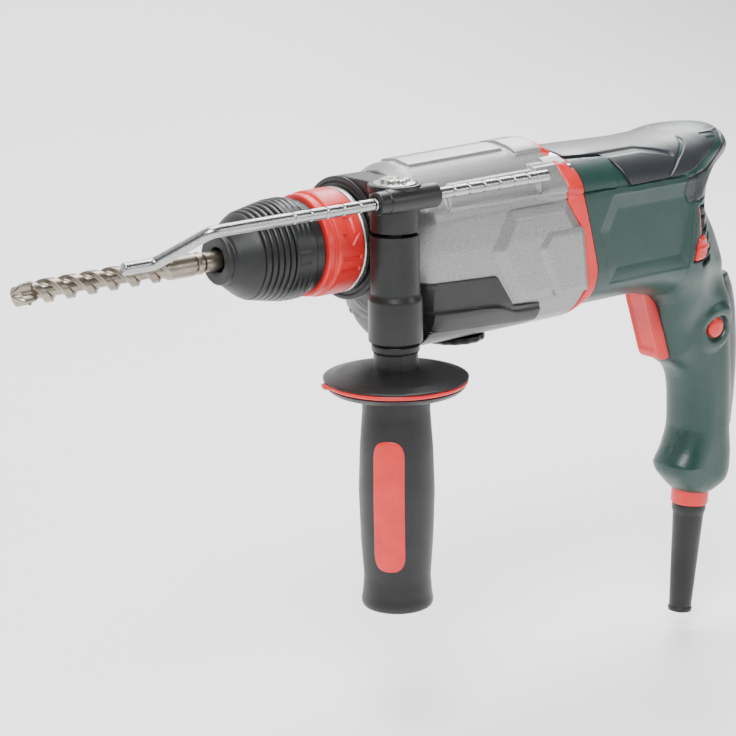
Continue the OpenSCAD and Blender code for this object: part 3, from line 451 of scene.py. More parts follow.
def gearbox_point(x, loop):
    """Casting skin at station x: the loop shrinks towards an oval 31.5 mm wide and 36 mm high
    from its middle at the front end."""
    y, z = loop[..., 0], loop[..., 1]
    level = (z + 5) * 0.86
    reach = np.hypot(y, level + 1e-6)
    round_y, round_z = 31.5 * y / reach, -5 + 36 * level / reach
    k = ease((x - 97) / 12)
    slope = (x - 150) / 50 * 0.9 * ease((z - 5) / 20)
    return np.stack([x + 0 * y, (1 - k) * round_y + k * y, (1 - k) * round_z + k * (z + slope)], -1)


def gearbox_sheet():
    """The casting's skin from its front end to its raked rear edge: the loop at each station,
    pushed out along its normal on the shoulders, the boss blocks, the strip and the block on
    the roof, and drawn in at both ends."""
    u = np.concatenate([[0, 0.002, 0.006], np.linspace(0.012, 0.994, 150), [0.997, 1]])[:, None]
    y, z = gearbox_loop[None, :, 0], gearbox_loop[None, :, 1]
    x = CASTING_FRONT + u * (gearbox_edge(z) - 0.3 - CASTING_FRONT)
    p = gearbox_point(x, np.stack([y + 0 * x, z + 0 * x], -1))
    px, pz = p[..., 0], p[..., 2]
    lift = 1.8 * ease(inside_by(SHOULDER, px, pz) / 1.4 + 0.5)
    lift += 1.7 * ease(inside_by(BOSS_BLOCK, px, pz) / 1.4 + 0.5)
    on_roof = (pz > 20).astype(float)
    lift += 1.3 * ease(inside_by(ROOF_STRIP, px, p[..., 1]) + 0.5) * on_roof
    lift += 1.5 * ease(inside_by(ROOF_BLOCK, px, p[..., 1]) / 1.2 + 0.5) * on_roof
    lift -= 1.2 * (1 - ease(100 * np.minimum(u, 1 - u))) ** 2
    return push(p, -lift)


def painted_silver():
    """Metallic paint: pale grey with scattered bright and dark flakes under a satin lacquer."""
    paint = Finish("silver_paint", (0.45, 0.46, 0.45), 0.36, 0.5)
    flakes = paint.cells(2600)
    grain = paint.noise(2300, 2)
    greys = [(0.30, (0.15, 0.153, 0.15)), (0.5, (0.25, 0.253, 0.246)), (0.72, (0.38, 0.38, 0.37))]
    bright = paint.spread(flakes.outputs["Distance"], 0.25, 0.0, 0.0, 0.5)
    silver = paint.mix(bright, paint.ramp(grain, greys), (0.62, 0.62, 0.62))
    black = paint.attribute("black")
    paint.link(paint.mix(black, silver, (0.010, 0.011, 0.012)), "Base Color")
    paint.link(paint.spread(black, 0.5, 0.0), "Metallic")
    paint.link(paint.spread(paint.noise(1900, 2), 0.30, 0.5), "Roughness")
    paint.bump(grain, 0.18, 0.0002)
    return paint.material


silver_paint = painted_silver()
casting = gearbox_sheet()
wall = (casting[-1] - CASTING_MIDDLE) * [1, HOLLOW_SHARE, HOLLOW_SHARE] + CASTING_MIDDLE
bore = casting[0, :, 1:] / np.linalg.norm(casting[0, :, 1:], axis=1, keepdims=True) * BORE_RADIUS
inner_stations = ((112, wall[:, 1:]), (108, bore), (CASTING_FRONT, bore))
inner = [wall] + [np.column_stack([np.full(len(wall), x), loop]) for x, loop in inner_stations]
casting_ring = np.concatenate([casting, inner])
ring_x, ring_z = casting_ring[..., 0], casting_ring[..., 2]
black_part = np.maximum(inside_by(BLACK_LOW, ring_x, ring_z), CASTING_FRONT + 2.5 - ring_x)
piece("gearbox_casting", [sheet_of(casting_ring, wrap_u=True, caps="none")], "machine", silver_paint,
    ["gearbox_housing"], 40, {"black": ease(black_part / 0.5 + 0.5).ravel()})

# ---------------------------------------------------------------- side plates
# A raised six-sided cover on each flank with a broad chamfer, and a second, lower step
# inside it that opens to the rear. Both are painted like the casting.

PLATE = [(157.5, 9.4), (207, 9.4), (207, 8.8), (216.2, -8.4), (222, -41.4), (180.8, -42.6),
    (164.6, -42.2), (145, -11.6)]
PLATE_INNER = [(181.5, -5.4), (212, -5.4), (218.5, -41.0), (190.5, -42.2), (175.8, -13.6)]


def flank(x, z):
    """Half width of the casting at (x, z), from its half outline."""
    return np.interp(-z, -gearbox_half[:, 1], gearbox_half[:, 0])


def clipped(outline, edge, gap):
    """Outline points pulled back to lie gap in front of an edge line x = edge(z)."""
    outline = np.asarray(outline, float)
    return np.stack([np.minimum(outline[:, 0], edge(outline[:, 1]) - gap), outline[:, 1]], -1)


def raised_sheet(outline, steps, side, surface, rows=24):
    """A cover that follows a surface: rings of its outline shrunk towards its middle, each
    point lifted by its distance from the outline as steps [(distance, lift), ...] say. The
    first step is the foot, which goes into the surface."""
    outline = np.asarray(outline, float)
    centre = outline.mean(0)
    deepest = min(steps[-1][0] * 1.5 / np.linalg.norm(outline - centre, axis=1).min(), 0.9)
    shrink = np.concatenate([np.linspace(0, deepest, rows), np.linspace(deepest, 0.995, 10)[1:]])
    rings = [outline] + [centre + (outline - centre) * (1 - k) for k in shrink]
    grid = []
    for number, ring in enumerate(rings):
        distance = np.maximum(inside_by(outline, ring[:, 0], ring[:, 1]), 0)
        lift = np.interp(distance, *zip(*steps[1:])) if number else steps[0][1]
        y = side * (surface(ring[:, 0], ring[:, 1]) + lift)
        grid.append(np.stack([ring[:, 0], y, ring[:, 1]], -1))
    return np.array(grid)


def smooth_outline(corners, cut, count):
    """A closed outline with rounded corners, as count points at even steps."""
    return evenly(rounded(corners, cut, 6), count, closed=True)


PLATE_STEPS = [(0, -2), (0, 0.1), (0.4, 0.4), (5.0, 2.6), (5.8, 2.9), (6.4, 3.0)]
INNER_STEPS = [(0, 1), (0, 3), (2.6, 4.5), (3.3, 4.8), (4.2, 4.8)]
layers = []
for corners, count, gap, steps in ((PLATE, 360, 0.4, PLATE_STEPS), (PLATE_INNER, 300, 1.6, INNER_STEPS)):
    line = clipped(smooth_outline(corners, 3.0, count), gearbox_edge, gap)
    layers.append((evenly(line, count, closed=True), steps))
for side, label in ((-1, "left"), (1, "right")):
    covers = [sheet_of(raised_sheet(line, steps, side, flank)) for line, steps in layers]
    piece("flank_plate_" + label, covers, "machine", silver_paint,
        ["side_plate_" + label], 25)

# ---------------------------------------------------------------- lower covers
# Black glass-filled plastic, clipped over the grease chamber below each flank. A fold runs
# along each cover, and below it the cover stands out to a rounded lower edge.

COVER = [(99.5, -21.6), (149.5, -24.4), (162.6, -42.3), (182, -43.6), (183.4, -55), (99.5, -49)]
COVER_STEPS = [(0, -2), (0, 0.5), (0.25, 0.95), (0.8, 1.2)]
COVER_FOLD = [(90, -36.5), (150, -40.5), (165, -46.2), (190, -46.6), (190, -70), (90, -70)]

skin_x = np.linspace(98, 222, 63)
skin_z = np.linspace(-58, 30, 89)
station_x = skin_x[:, None] + 0 * gearbox_half[None, :, 0]
stations = gearbox_point(station_x, gearbox_half[None] + 0 * skin_x[:, None, None])
skin_table = np.array([np.interp(skin_z, s[::-1, 2], s[::-1, 1]) for s in stations])


def casting_y(x, z):
    """Half width of the whole casting at (x, z), narrowed at its front end: bilinear in a table."""
    i = np.clip((x - skin_x[0]) / (skin_x[1] - skin_x[0]), 0, len(skin_x) - 1.001)
    j = np.clip((z - skin_z[0]) / (skin_z[1] - skin_z[0]), 0, len(skin_z) - 1.001)
    a, b = i.astype(int), j.astype(int)
    s, t = i - a, j - b
    low = skin_table[a, b] * (1 - t) + skin_table[a, b + 1] * t
    high = skin_table[a + 1, b] * (1 - t) + skin_table[a + 1, b + 1] * t
    return low * (1 - s) + high * s


def grease_cover_y(x, z):
    """The casting's skin, 1.5 mm further out below the fold."""
    return casting_y(x, z) + 1.5 * ease(inside_by(COVER_FOLD, x, z) / 2.2 + 0.5)


def moulded(name, color, rough, grain=0.3, depth=0.00022, scale=1500):
    """Spark-eroded plastic: a fine pebble grain, an uneven tint, rubbed spots a bit glossier."""
    plastic = Finish(name, color, rough, Specular_IOR_Level=0.4)
    dark = tuple(c * 0.86 for c in color)
    light = tuple(min(1, c * 1.12 + 0.002) for c in color)
    plastic.link(plastic.ramp(plastic.noise(60, 6), [(0.3, dark), (0.7, light)]), "Base Color")
    plastic.link(plastic.spread(plastic.noise(35, 3), rough - 0.07, rough + 0.08, 0.3, 0.7), "Roughness")
    plastic.bump(plastic.cells(scale, "SMOOTH_F1").outputs["Distance"], grain, depth)
    return plastic.material


black_plastic = moulded("black_plastic", (0.010, 0.0105, 0.011), 0.36)
red_plastic = moulded("red_plastic", (0.66, 0.022, 0.022), 0.36, 0.15)
cover_line = smooth_outline(COVER, 2.0, 340)
for side, label in ((-1, "left"), (1, "right")):
    cover = sheet_of(raised_sheet(cover_line, COVER_STEPS, side, grease_cover_y, 30))
    piece("grease_cover_" + label, [cover], "machine", black_plastic,
        ["lower_cover_" + label], 28)

# ---------------------------------------------------------------- motor housing and handle shells
# Green glass-filled polyamide. The motor housing is one pot; from the direction slider on, two
# half shells carry on its shape, round the rear off and run down into the pistol grip.

ROOF = [(150, 31), (228, 29.4), (280, 28.2), (300, 29), (312, 31), (325, 31.8), (336, 31), (342, 28.5),
    (345.3, 23), (346, 16.6), (342.8, 7.5), (335.5, 0), (330, -7), (329.6, -12), (332, -17), (337, -24.5),
    (341, -33), (346, -45), (350, -60), (354, -78), (357, -98), (358, -114), (358.5, -130), (358, -150),
    (359.5, -164), (359, -176), (356, -185.5), (350, -190.6)]
BELLY = [(150, -58), (262, -58), (278, -59.2), (288, -62), (294, -68), (298, -82), (302.5, -96),
    (305, -103.5), (310, -106.5), (316, -110.5), (320, -117), (321.8, -126), (322.3, -137), (322.3, -148),
    (318, -159), (311.5, -168), (312.8, -174), (319, -181), (326, -187.5), (334, -190.8), (350, -190.8)]
BRACES = [
    ((200, 30.2), (200, -14), (200, -58)),
    ((250, 29), (250, -14.5), (250, -58)),
    ((298, 28.8), (293.5, -16.8), (289, -62.5)),
    ((312, 31), (302, -18), (294, -68)),
    ((326, 31.8), (309, -24), (298, -82)),
    ((339, 30), (313.5, -31), (303, -97)),
    ((345.5, 19), (314.5, -37), (308, -105)),
    ((341.5, 6), (314.5, -40), (313.5, -109)),
    ((334.5, -1), (317, -46), (316, -110.5)),
    ((330, -9), (320, -52), (319, -115)),
    ((330, -15), (323, -58), (320.8, -120)),
    ((336.5, -24), (326.5, -67), (321.8, -127)),
    ((341, -34), (330.5, -78), (322.3, -134)),
    ((346.5, -47), (334, -90), (322.3, -141)),
    ((351, -64), (336.4, -105), (322, -148)),
    ((354.5, -82), (336.8, -119), (319.5, -156)),
    ((357, -98), (335.8, -130.5), (315, -163)),
    ((358, -114), (334.8, -141), (311.6, -168)),
    ((358.5, -130), (335.5, -152), (312.6, -174)),
    ((358, -150), (338.2, -165.2), (318.5, -180.5)),
    ((359.5, -166), (342.2, -176), (325, -186.5)),
    ((357.5, -181), (344.2, -185.5), (331, -190)),
    ((350, -190.6), (344, -190.7), (338, -190.8)),
]
SLIDER_SEAM = 2
HALF_WIDTH = 38.0
GRIP_HALF = 17.0
DOME_START = 308.0
DOME_LENGTH = 39.0


def softened(line, width, step=0.5):
    """The line at even steps, with its corners rounded by a sliding mean over that width."""
    line = evenly(line, int(np.linalg.norm(np.diff(line, axis=0), axis=1).sum() / step) + 2)
    half = max(1, int(width / step / 2))
    kernel = np.hanning(2 * half + 3)[1:-1]
    kernel /= kernel.sum()
    lead_in, lead_out = 2 * line[:1] - line[half:0:-1], 2 * line[-1:] - line[-2 : -half - 2 : -1]
    padded = np.concatenate([lead_in, line, lead_out])
    return np.stack([np.convolve(column, kernel, "valid") for column in padded.T], -1)


roof_line = softened(ROOF, 9)
belly_line = softened(BELLY, 9)
roof_edge = evenly(roof_line, 150)
belly_edge = evenly(belly_line, 120)


def swell(q, power=2.25):
    """Quarter of a superellipse: 0 at q = 0, 1 from q = 1 on."""
    return (1 - (1 - np.clip(q, 0, 1)) ** power) ** (1 / power)


def body_y(x, z):
    """Half width of the green body at (x, z): full width in the middle, drawn in towards the
    roof and the belly by superellipses whose reach changes from the motor to the grip."""
    down = ease((-z - 52) / 26)
    width = HALF_WIDTH + (GRIP_HALF - HALF_WIDTH) * ease((-z - 44) / 44)
    width = width - 9.0 * ease((x - 292) / 40) * (1 - down) * ease((26 - z) / 16)
    rear = ease((x - 282) / 40) * (1 - down)
    reach_roof = 24 + 26 * rear * ease((24 - z) / 26) - 8 * down
    reach_belly = 28 - 12 * down
    roof = swell(distance_to(roof_edge, x, z) / reach_roof)
    belly = swell(distance_to(belly_edge, x, z) / reach_belly)
    round_rear = np.sqrt(1 - np.clip((x - DOME_START) / DOME_LENGTH, 0, 0.98) ** 2)
    return width * roof * belly * (1 - ease((z + 14) / 16) * (1 - round_rear))


def cross_lines(first, last, rows, columns):
    """Grid of (x, z) between roof and belly: braces through a middle point, spaced evenly from
    one numbered brace to the next, with points crowded towards both borders."""
    braces = np.array(BRACES, float).reshape(len(BRACES), 6)[first : last + 1]
    line = softened(braces, 12, 0.7) if last - first > 1 else evenly(braces, 200)
    line[0], line[-1] = braces[0], braces[-1]
    line = evenly(line, rows)
    top, middle, low = line[:, :2], line[:, 2:4], line[:, 4:]
    top, low = (
        edge[np.argmin(((edge[:, None] - ends[None]) ** 2).sum(-1), 0)]
        for edge, ends in ((roof_line, top), (belly_line, low))
    )
    t = 0.5 - 0.5 * np.cos(np.pi * np.linspace(0, 1, columns))
    t = 0.55 * t + 0.45 * np.linspace(0, 1, columns)
    t[1], t[-2] = t[2] * 0.25, 1 - (1 - t[-3]) * 0.25
    t = t[None, :, None]
    top, middle, low = top[:, None], middle[:, None], low[:, None]
    return (1 - t) * (1 - 2 * t) * top + 4 * t * (1 - t) * middle + t * (2 * t - 1) * low


LEDGE_Z = 10.6
PANEL = [(232.4, 6.9), (222.7, -11.7), (231.6, -41.6), (291.7, -41.2), (303, 6.9)]
PANEL_SLOPE = 8.0
SHINE_PAD = [(211, 27), (240, 25.6), (238.4, 20), (235.3, 11.4), (211, 11.4)]
SOFT_REAR = [(341, 34), (341, 30), (329.6, 26.4), (322.4, 20.7), (314.7, 14.7), (308, 11.4), (288.5, 9.1),
    (287.5, 1.9), (291.6, -4.9), (306.5, -3.5), (322, -5.5), (340, -6), (360, 8), (360, 34)]
SLIDER_SLOT = [(298, -8), (304.3, -7.6), (308.5, -17.4), (309, -26), (310.6, -32), (308.8, -36.4),
    (304.5, -38.8), (294.6, -39), (297, -30), (300.4, -24), (300, -15)]
VENTS = [((306.1, -8.6), (309.4, -8.9)), ((308.9, -15.3), (312.6, -15.2)), ((310.4, -23.0), (315.4, -21.9)),
    ((311.6, -29.5), (316.8, -27.6)), ((309.6, -35.6), (317.0, -34.0)), ((304.6, -41.2), (315.4, -39.9))]
VENT_RADIUS = 1.5
BUTTON = (333.0, -85.5)
TRIGGER_GAP = [(280, -54), (300, -54), (302, -66), (305, -78), (311, -92), (312.5, -104),
    (300, -106), (280, -80)]
BOSS_RADIUS = 15.0


def capsule(x, z, start, end, radius):
    """Signed distance to a round-ended slot between two points, negative inside."""
    dx, dz = end[0] - start[0], end[1] - start[1]
    t = np.clip(((x - start[0]) * dx + (z - start[1]) * dz) / (dx * dx + dz * dz), 0, 1)
    return np.hypot(x - start[0] - t * dx, z - start[1] - t * dz) - radius


def body_relief(x, y, z, side):
    """Relief of the green body in millimetres, a mark of painted shade for the open slots and the
    trigger gap, and a softness mark for the rubber at the rear."""
    relief = -1.2 * ease((z - LEDGE_Z) / 0.8 + 0.5) * (1 - ease((x - 282) / 8))
    relief += 1.5 * ease(inside_by(SHINE_PAD, x, z) / 0.7 + 0.5)
    fade = 1 - ease((x - 284) / 20)
    inside = inside_by(PANEL, x, z)
    relief -= (0.5 * ease(inside / 0.7 + 0.5) + 1.9 * np.clip(inside / PANEL_SLOPE, 0, 1)) * fade
    rear = inside_by(SOFT_REAR, x, z)
    soft = ease(rear / 0.5 + 0.5)
    relief -= 0.7 * (1 - ease((np.abs(rear) - 0.3) / 0.5))
    # Painted shade: inside the trigger gap, near the parting plane, the skin is marked dark.
    beside = inside_by(TRIGGER_GAP, x, z)
    dark = ease(beside / 0.5 + 0.5) * (1 - ease((y - 9.6) / 0.8))
    # The vents are sunk 2.2 mm and marked dark as painted shade of the open slots.
    for start, end in VENTS:
        cut = 1 - ease(capsule(x, z, start, end, VENT_RADIUS) / 0.7 + 0.5)
        relief -= 2.2 * cut
        dark = np.maximum(dark, cut)
    if side < 0:
        ring = np.hypot(x - BUTTON[0], z - BUTTON[1])
        relief += 3.0 * ease((BOSS_RADIUS + 0.8 - ring) / 4.5) - 2.4 * ease((8.8 - ring) / 1.6)
        # The slider slot is sunk 2 mm and marked dark as painted shade.
        cut = ease(inside_by(SLIDER_SLOT, x, z) / 0.7 + 0.5)
        relief -= 2.0 * cut
        dark = np.maximum(dark, cut)
    return relief, dark, soft


def body_grid(plan, side):
    """Flank points of a plan grid with their relief, pushed along the surface normal."""
    x, z = plan[..., 0], plan[..., 1]
    y = body_y(x, z)
    y[:, 0] = y[:, -1] = 0
    relief, dark, soft = body_relief(x, y, z, side)
    p = np.stack([x, side * y, z], -1)
    return push(p, side * relief * ease(y / 6), wrap_v=False), dark, soft


motor_plan = cross_lines(0, SLIDER_SEAM, 150, 150)
front_share = (motor_plan[..., 0] - 200) / (motor_plan[-1:, :, 0] - 200)
front_x = ring_edge(motor_plan[..., 1]) + 0.25
motor_plan[..., 0] = front_x + front_share * (motor_plan[-1:, :, 0] - 0.1 - front_x)
near_pot, *near_marks = body_grid(motor_plan, -1)
far_pot, *far_marks = body_grid(motor_plan, 1)
near_pot[:, [0, -1], 1] = 0
pot = np.concatenate([near_pot, far_pot[:, -2:0:-1]], 1)
# The first mark carries the painted shade of the slots and the trigger gap, the second the soft rubber.
pot_slot_shade, pot_soft = (np.concatenate([a, b[:, -2:0:-1]], 1).ravel() for a, b in zip(near_marks, far_marks))


def body_finish(name, low, high):
    """Dyed polyamide with a fine pebble grain; the mark soft turns it into grey rubber and the
    mark dark paints near-black shade into the open slots and the trigger gap."""
    green = Finish(name, low, 0.38, Specular_IOR_Level=0.45)
    cloud = green.ramp(green.noise(45, 5), [(0.3, low), (0.7, high)])
    speck = green.ramp(green.noise(2400, 2), [(0.35, (0.75, 0.75, 0.75)), (0.65, (1.0, 1.0, 1.0))])
    tinted = green.mix(1.0, cloud, speck, "MULTIPLY")
    rubber = green.mix(green.attribute("soft"), tinted, (0.022, 0.026, 0.030))
    # Painted shade: where the mark dark is set, the colour goes near black for the shade inside slots.
    green.link(green.mix(green.attribute("dark"), rubber, (0.004, 0.005, 0.005)), "Base Color")
    green.link(green.spread(green.noise(30, 3), 0.30, 0.46, 0.3, 0.7), "Roughness")
    green.bump(green.cells(1700, "SMOOTH_F1").outputs["Distance"], 0.35, 0.0002)
    return green.material


green_housing = body_finish("green_housing", (0.010, 0.038, 0.031), (0.014, 0.050, 0.041))
piece("motor_pot", [sheet_of(pot)], "machine", green_housing, ["motor_housing"], 40,
    {"dark": pot_slot_shade, "soft": pot_soft})

handle_plan = cross_lines(SLIDER_SEAM, len(BRACES) - 1, 430, 150)
handle_plan[0, :, 0] += 0.1


def closed_half(p, side):
    """A half shell: the flank grid, a flat face on its first row and a flat face in the
    parting plane round its whole border."""
    p = p.copy()
    p[:, [0, -1], 1] = side * 0.02
    p[-1, :, 1] = side * 0.02
    nu, nv = p.shape[:2]
    verts, faces = sheet_of(p, wrap_v=False, caps="none")
    index = np.arange(nu * nv).reshape(nu, nv)
    border = np.concatenate([index[:, 0], index[-1, 1:], index[-2::-1, -1]])
    faces.append(index[0].tolist())
    faces.append(border[::-1].tolist())
    return verts, faces


for side, label in ((-1, "left"), (1, "right")):
    # The first mark carries the painted shade of the slots and the trigger gap, the second the soft rubber.
    shell, shell_slot_shade, shell_soft = body_grid(handle_plan, side)
    verts, faces = closed_half(shell, side)
    piece("grip_shell_" + label, [(verts, faces)], "machine", green_housing,
        ["handle_shell_" + label], 40, {"dark": shell_slot_shade.ravel(), "soft": shell_soft.ravel()})

# ---------------------------------------------------------------- intermediate ring
# The red moulding between gearbox and motor housing. Its front edge follows the casting and
# its rear edge the green pot, so it is raked on the flanks and upright over the roof.


def by_angle(loop, count=480):
    """A closed loop of (x, y, z) again as count points at even angles about the housing's
    middle line, so that two loops pair up flank by flank."""
    turn = np.unwrap(np.arctan2(loop[:, 2] + 13, loop[:, 1]))
    if turn[-1] < turn[0]:
        turn, loop = turn[::-1], loop[::-1]
    at = turn[0] + np.linspace(0, 2 * np.pi, count, endpoint=False)
    turn, loop = np.append(turn, turn[0] + 2 * np.pi), np.concatenate([loop, loop[:1]])
    return np.stack([np.interp(at, turn, loop[:, k]) for k in range(3)], -1)


ring_front = by_angle(casting[-6])
ring_front[:, 0] = gearbox_edge(ring_front[:, 2]) - 0.1
ring_rear = by_angle(pot[0])
start = np.argmin(np.linalg.norm(ring_rear[:, 1:] - ring_front[0, 1:] * 0.95, axis=1))
ring_rear = np.roll(ring_rear, -start, 0)
ring_rear[:, 0] = ring_edge(ring_rear[:, 2]) + 0.1
# Straight from the front loop to the rear one, crowned in the middle and rolled in at both
# edges along the surface normal.
across = np.linspace(0, 1, 26)[:, None, None]
ring_skin = (1 - across) * ring_front + across * ring_rear
rolled = swell(np.minimum(across[..., 0], 1 - across[..., 0]) * 9, 2) + 0 * ring_skin[..., 0]
away = np.sign(np.sum((push(ring_skin, rolled * 0 + 0.1) - ring_skin)[..., 1:] * ring_skin[..., 1:]))
ring_skin = push(ring_skin, away * (1.0 * rolled - 0.7 + 0.3 * np.sin(np.pi * across[..., 0])))
piece("red_ring", [sheet_of(ring_skin)], "machine", red_plastic, ["intermediate_ring"], 40)

# ---------------------------------------------------------------- soft top cover
# A dark grey rubber skin over the motor housing. It ends in a slanted front edge and, at the
# rear, against the green hoop; a raised rib runs along it above the ledge.

COVER_ROOF = [(227, 29.5), (260, 28.9), (300, 29.2), (322, 31.4), (334, 31.4)]
COVER_LEDGE = [(245.5, 11.0), (284, 11.6), (297, 13.5), (308, 18.5), (315, 23), (326, 28), (333, 30.8)]
COVER_FRONT = [(11, 245.5), (24, 240.3), (26.8, 236.6), (27.4, 213), (31, 212.2)]
COVER_RIB = [(236.7, 25.8), (265.3, 25.6), (276.6, 23.8), (284, 22)]
RIB_CURVE = [(301, 27), (297.6, 25), (286.5, 19.7), (275.8, 12.7)]
DOME_VENTS = [(310.5 + 1.2 * k, -3 - 4.4 * k) for k in range(6)]


def rim_distance(p):
    """Distance of each grid point from the nearest point of the grid's own border."""
    rim = np.concatenate([p[0], p[-1], p[:, 0], p[:, -1]])
    gap = np.full(p.shape[:2], 1e9)
    for part in np.array_split(rim, 40):
        gap = np.minimum(gap, np.linalg.norm(p[:, :, None] - part, axis=-1).min(-1))
    return gap


def slab(outer, inner):
    """Vertices and faces of a thick patch: an outer grid, an inner one and the strip between."""
    nu, nv = outer.shape[:2]
    index = np.arange(nu * nv).reshape(nu, nv)
    quads = np.stack([index[:-1, :-1], index[1:, :-1], index[1:, 1:], index[:-1, 1:]], -1)
    quads = quads.reshape(-1, 4)
    rim = np.concatenate([index[0], index[1:, -1], index[-1, -2::-1], index[-2:0:-1, 0]])
    after = np.roll(rim, -1)
    strip = np.stack([rim, after, after + nu * nv, rim + nu * nv], -1)
    verts = np.concatenate([outer.reshape(-1, 3), inner.reshape(-1, 3)])
    return verts, np.concatenate([quads, quads[:, ::-1] + nu * nv, strip]).tolist()


def patch(p, lift, thick, edge=1.2):
    """Thick cover over a grid of surface points, lifted by lift, with edges rolled down."""
    away = push(p, np.full(p.shape[:2], 0.1), False) - p
    sign = np.sign(np.sum(away[..., 1:] * (p[..., 1:] - [0, -13])))
    roll = swell(rim_distance(p) / edge, 2)
    inner = push(p, np.full(p.shape[:2], -sign * thick), False)
    return slab(push(p, sign * lift * roll, False), inner)


# Half of the skin runs back along u and down along v: v = 0 is the roof line, v = 1 the ledge,
# and the points between lie on the body. Over the first rows x is drawn to the front edge.
top_u = np.linspace(0, 1, 300)[:, None]
top_v = np.linspace(0, 1, 110)[None, :]
roof_side = evenly(softened(COVER_ROOF, 12), 300)
ledge_side = evenly(softened(COVER_LEDGE, 10), 300)
spread_v = np.sin(top_v * np.pi / 2) * 0.35 + top_v * 0.65
cover_x = roof_side[:, :1] * (1 - spread_v) + ledge_side[:, :1] * spread_v
front_z = 29.4 * (1 - spread_v) + 11 * spread_v
cover_front = np.interp(front_z, *zip(*COVER_FRONT))
cover_x += (cover_front - cover_x[:1]) * (1 - ease(top_u / 0.3))
roof_z = np.interp(cover_x, roof_line[:300, 0], roof_line[:300, 1])
cover_z = roof_z * (1 - spread_v) + np.minimum(ledge_side[:, 1:], roof_z - 0.5) * spread_v
cover_y = body_y(cover_x, cover_z)
cover_y[:, 0] = 0
near_cover = np.stack([cover_x, -cover_y, cover_z], -1)
far_cover = near_cover * [1, -1, 1]
cover_skin = np.concatenate([near_cover[:, ::-1], far_cover[:, 1:]], 1)
cx, cz = cover_skin[..., 0], cover_skin[..., 2]
beside = ease((np.abs(cover_skin[..., 1]) - 9) / 4)
rib = (1 - ease((distance_to(COVER_RIB, cx, cz) - 0.5) / 0.8)) * beside
curve = (1 - ease((distance_to(RIB_CURVE, cx, cz) - 0.3) / 0.7)) * beside
# The dome vents are sunk 1.8 mm; their mark dark paints the shade inside them near black.
slots = np.zeros_like(cx)
for sx, sy in DOME_VENTS:
    for sign in (1, -1):
        gap = capsule(cx, cover_skin[..., 1], (sx, sign * sy), (sx + 8, sign * sy), 1.1)
        slots = np.maximum(slots, 1 - ease(gap / 0.6 + 0.5))
cover_lift = 0.5 - 0.8 * rib - 0.7 * curve - 1.8 * slots
soft_grey = body_finish("soft_grey", (0.021, 0.024, 0.028), (0.026, 0.030, 0.035))
piece("soft_cover", [patch(cover_skin, cover_lift, 1.6)], "machine", soft_grey,
    ["top_cover"], 40, {"dark": slots.ravel()})

# ---------------------------------------------------------------- direction slider
# A red thumb piece with one grip rib slides in a curved slot behind the motor housing and
# turns the brush ring inside. A red mark above it, low in the slot, goes with it.

SLIDER = [(298.4, -25.6), (307.6, -25.6), (309.9, -32), (308.3, -35.6), (304, -38), (295.4, -38.3)]
SLIDER_RIB = [(296.9, -30.6), (309.6, -30.4), (310.2, -31.8), (309.4, -32.6), (296.5, -32.4)]
RED_MARK = [(298.4, -8.6), (300.2, -8.4), (302.6, -15.9), (303.6, -25.0), (301.2, -25.0), (300.4, -15.9)]
slider_parts = []
for outline, steps in ((SLIDER, [(0, -3), (0, 0.3), (0.4, 0.9), (1.2, 1.3)]),
                       (SLIDER_RIB, [(0, 0), (0, 1.8), (0.3, 2.3), (0.6, 2.4)]),
                       (RED_MARK, [(0, -3), (0, -1.4), (0.2, -1.1), (0.4, -1.0)])):
    slider_parts.append(sheet_of(raised_sheet(smooth_outline(outline, 1.4, 90), steps, -1, body_y, 12)))
piece("direction_thumb", slider_parts, "brush_unit", red_plastic, ["direction_slider"], 30)

# ---------------------------------------------------------------- back pad
# Soft rubber moulded over the palm side of the grip, from the saddle under the housing down
# to the lower third. It is thickest where the heel of the hand rests.

PAD_OUTER = [(355.5, -57.5), (360.4, -67), (362.8, -79), (364.4, -100), (364.6, -115),
    (364.3, -130), (362.6, -151)]
PAD_SEAM = [(345, -58), (347, -78), (347.5, -114), (347, -151)]
# Down along u, across along v: x goes from the outer line in the middle to the seam at both
# edges by the power 2.6 of the distance across, which keeps the back broad and flat.
pad_u = np.linspace(0, 1, 160)[:, None]
pad_v = np.linspace(-1, 1, 60)[None, :]
pad_back = evenly(softened(PAD_OUTER, 10), 160)
pad_front = evenly(softened(PAD_SEAM, 6), 160)
pad_width = 15.4 * (0.82 + 0.18 * np.sin(np.pi * np.clip(pad_u, 0.05, 0.95)))
bend = np.abs(pad_v) ** 2.6
pad_x = pad_back[:, :1] * (1 - bend) + pad_front[:, :1] * bend
pad_z = pad_back[:, 1:] + 0 * pad_v
pad_y = pad_width * np.sign(pad_v) * np.abs(pad_v) ** 0.8
pad_skin = np.stack([pad_x, pad_y, pad_z], -1)
pad_roll = swell(rim_distance(pad_skin) / 2.0, 2)
pad_low = pad_skin + np.stack([0 * pad_x - 4.5, -0.12 * pad_y, 0 * pad_x], -1)
pad_sink = pad_roll - 1
pad_top = pad_skin + np.stack([pad_sink * 1.2, pad_sink * 0.8 * np.sign(pad_y), 0 * pad_x], -1)
piece("palm_pad", [slab(pad_top, pad_low)], "machine", soft_grey, ["back_pad"], 45)

# ---------------------------------------------------------------- trigger and lock button
# Both are red acetal. The trigger is a block with a curved, hollowed finger face; the button
# is a low dome that sits in a round boss on the near side of the grip.

TRIGGER = [(285, -57), (287.4, -66), (292, -80), (296, -92), (298.5, -99.6), (301, -102.2), (307.8, -101),
    (309.5, -92), (309, -78), (306, -66), (304, -57)]


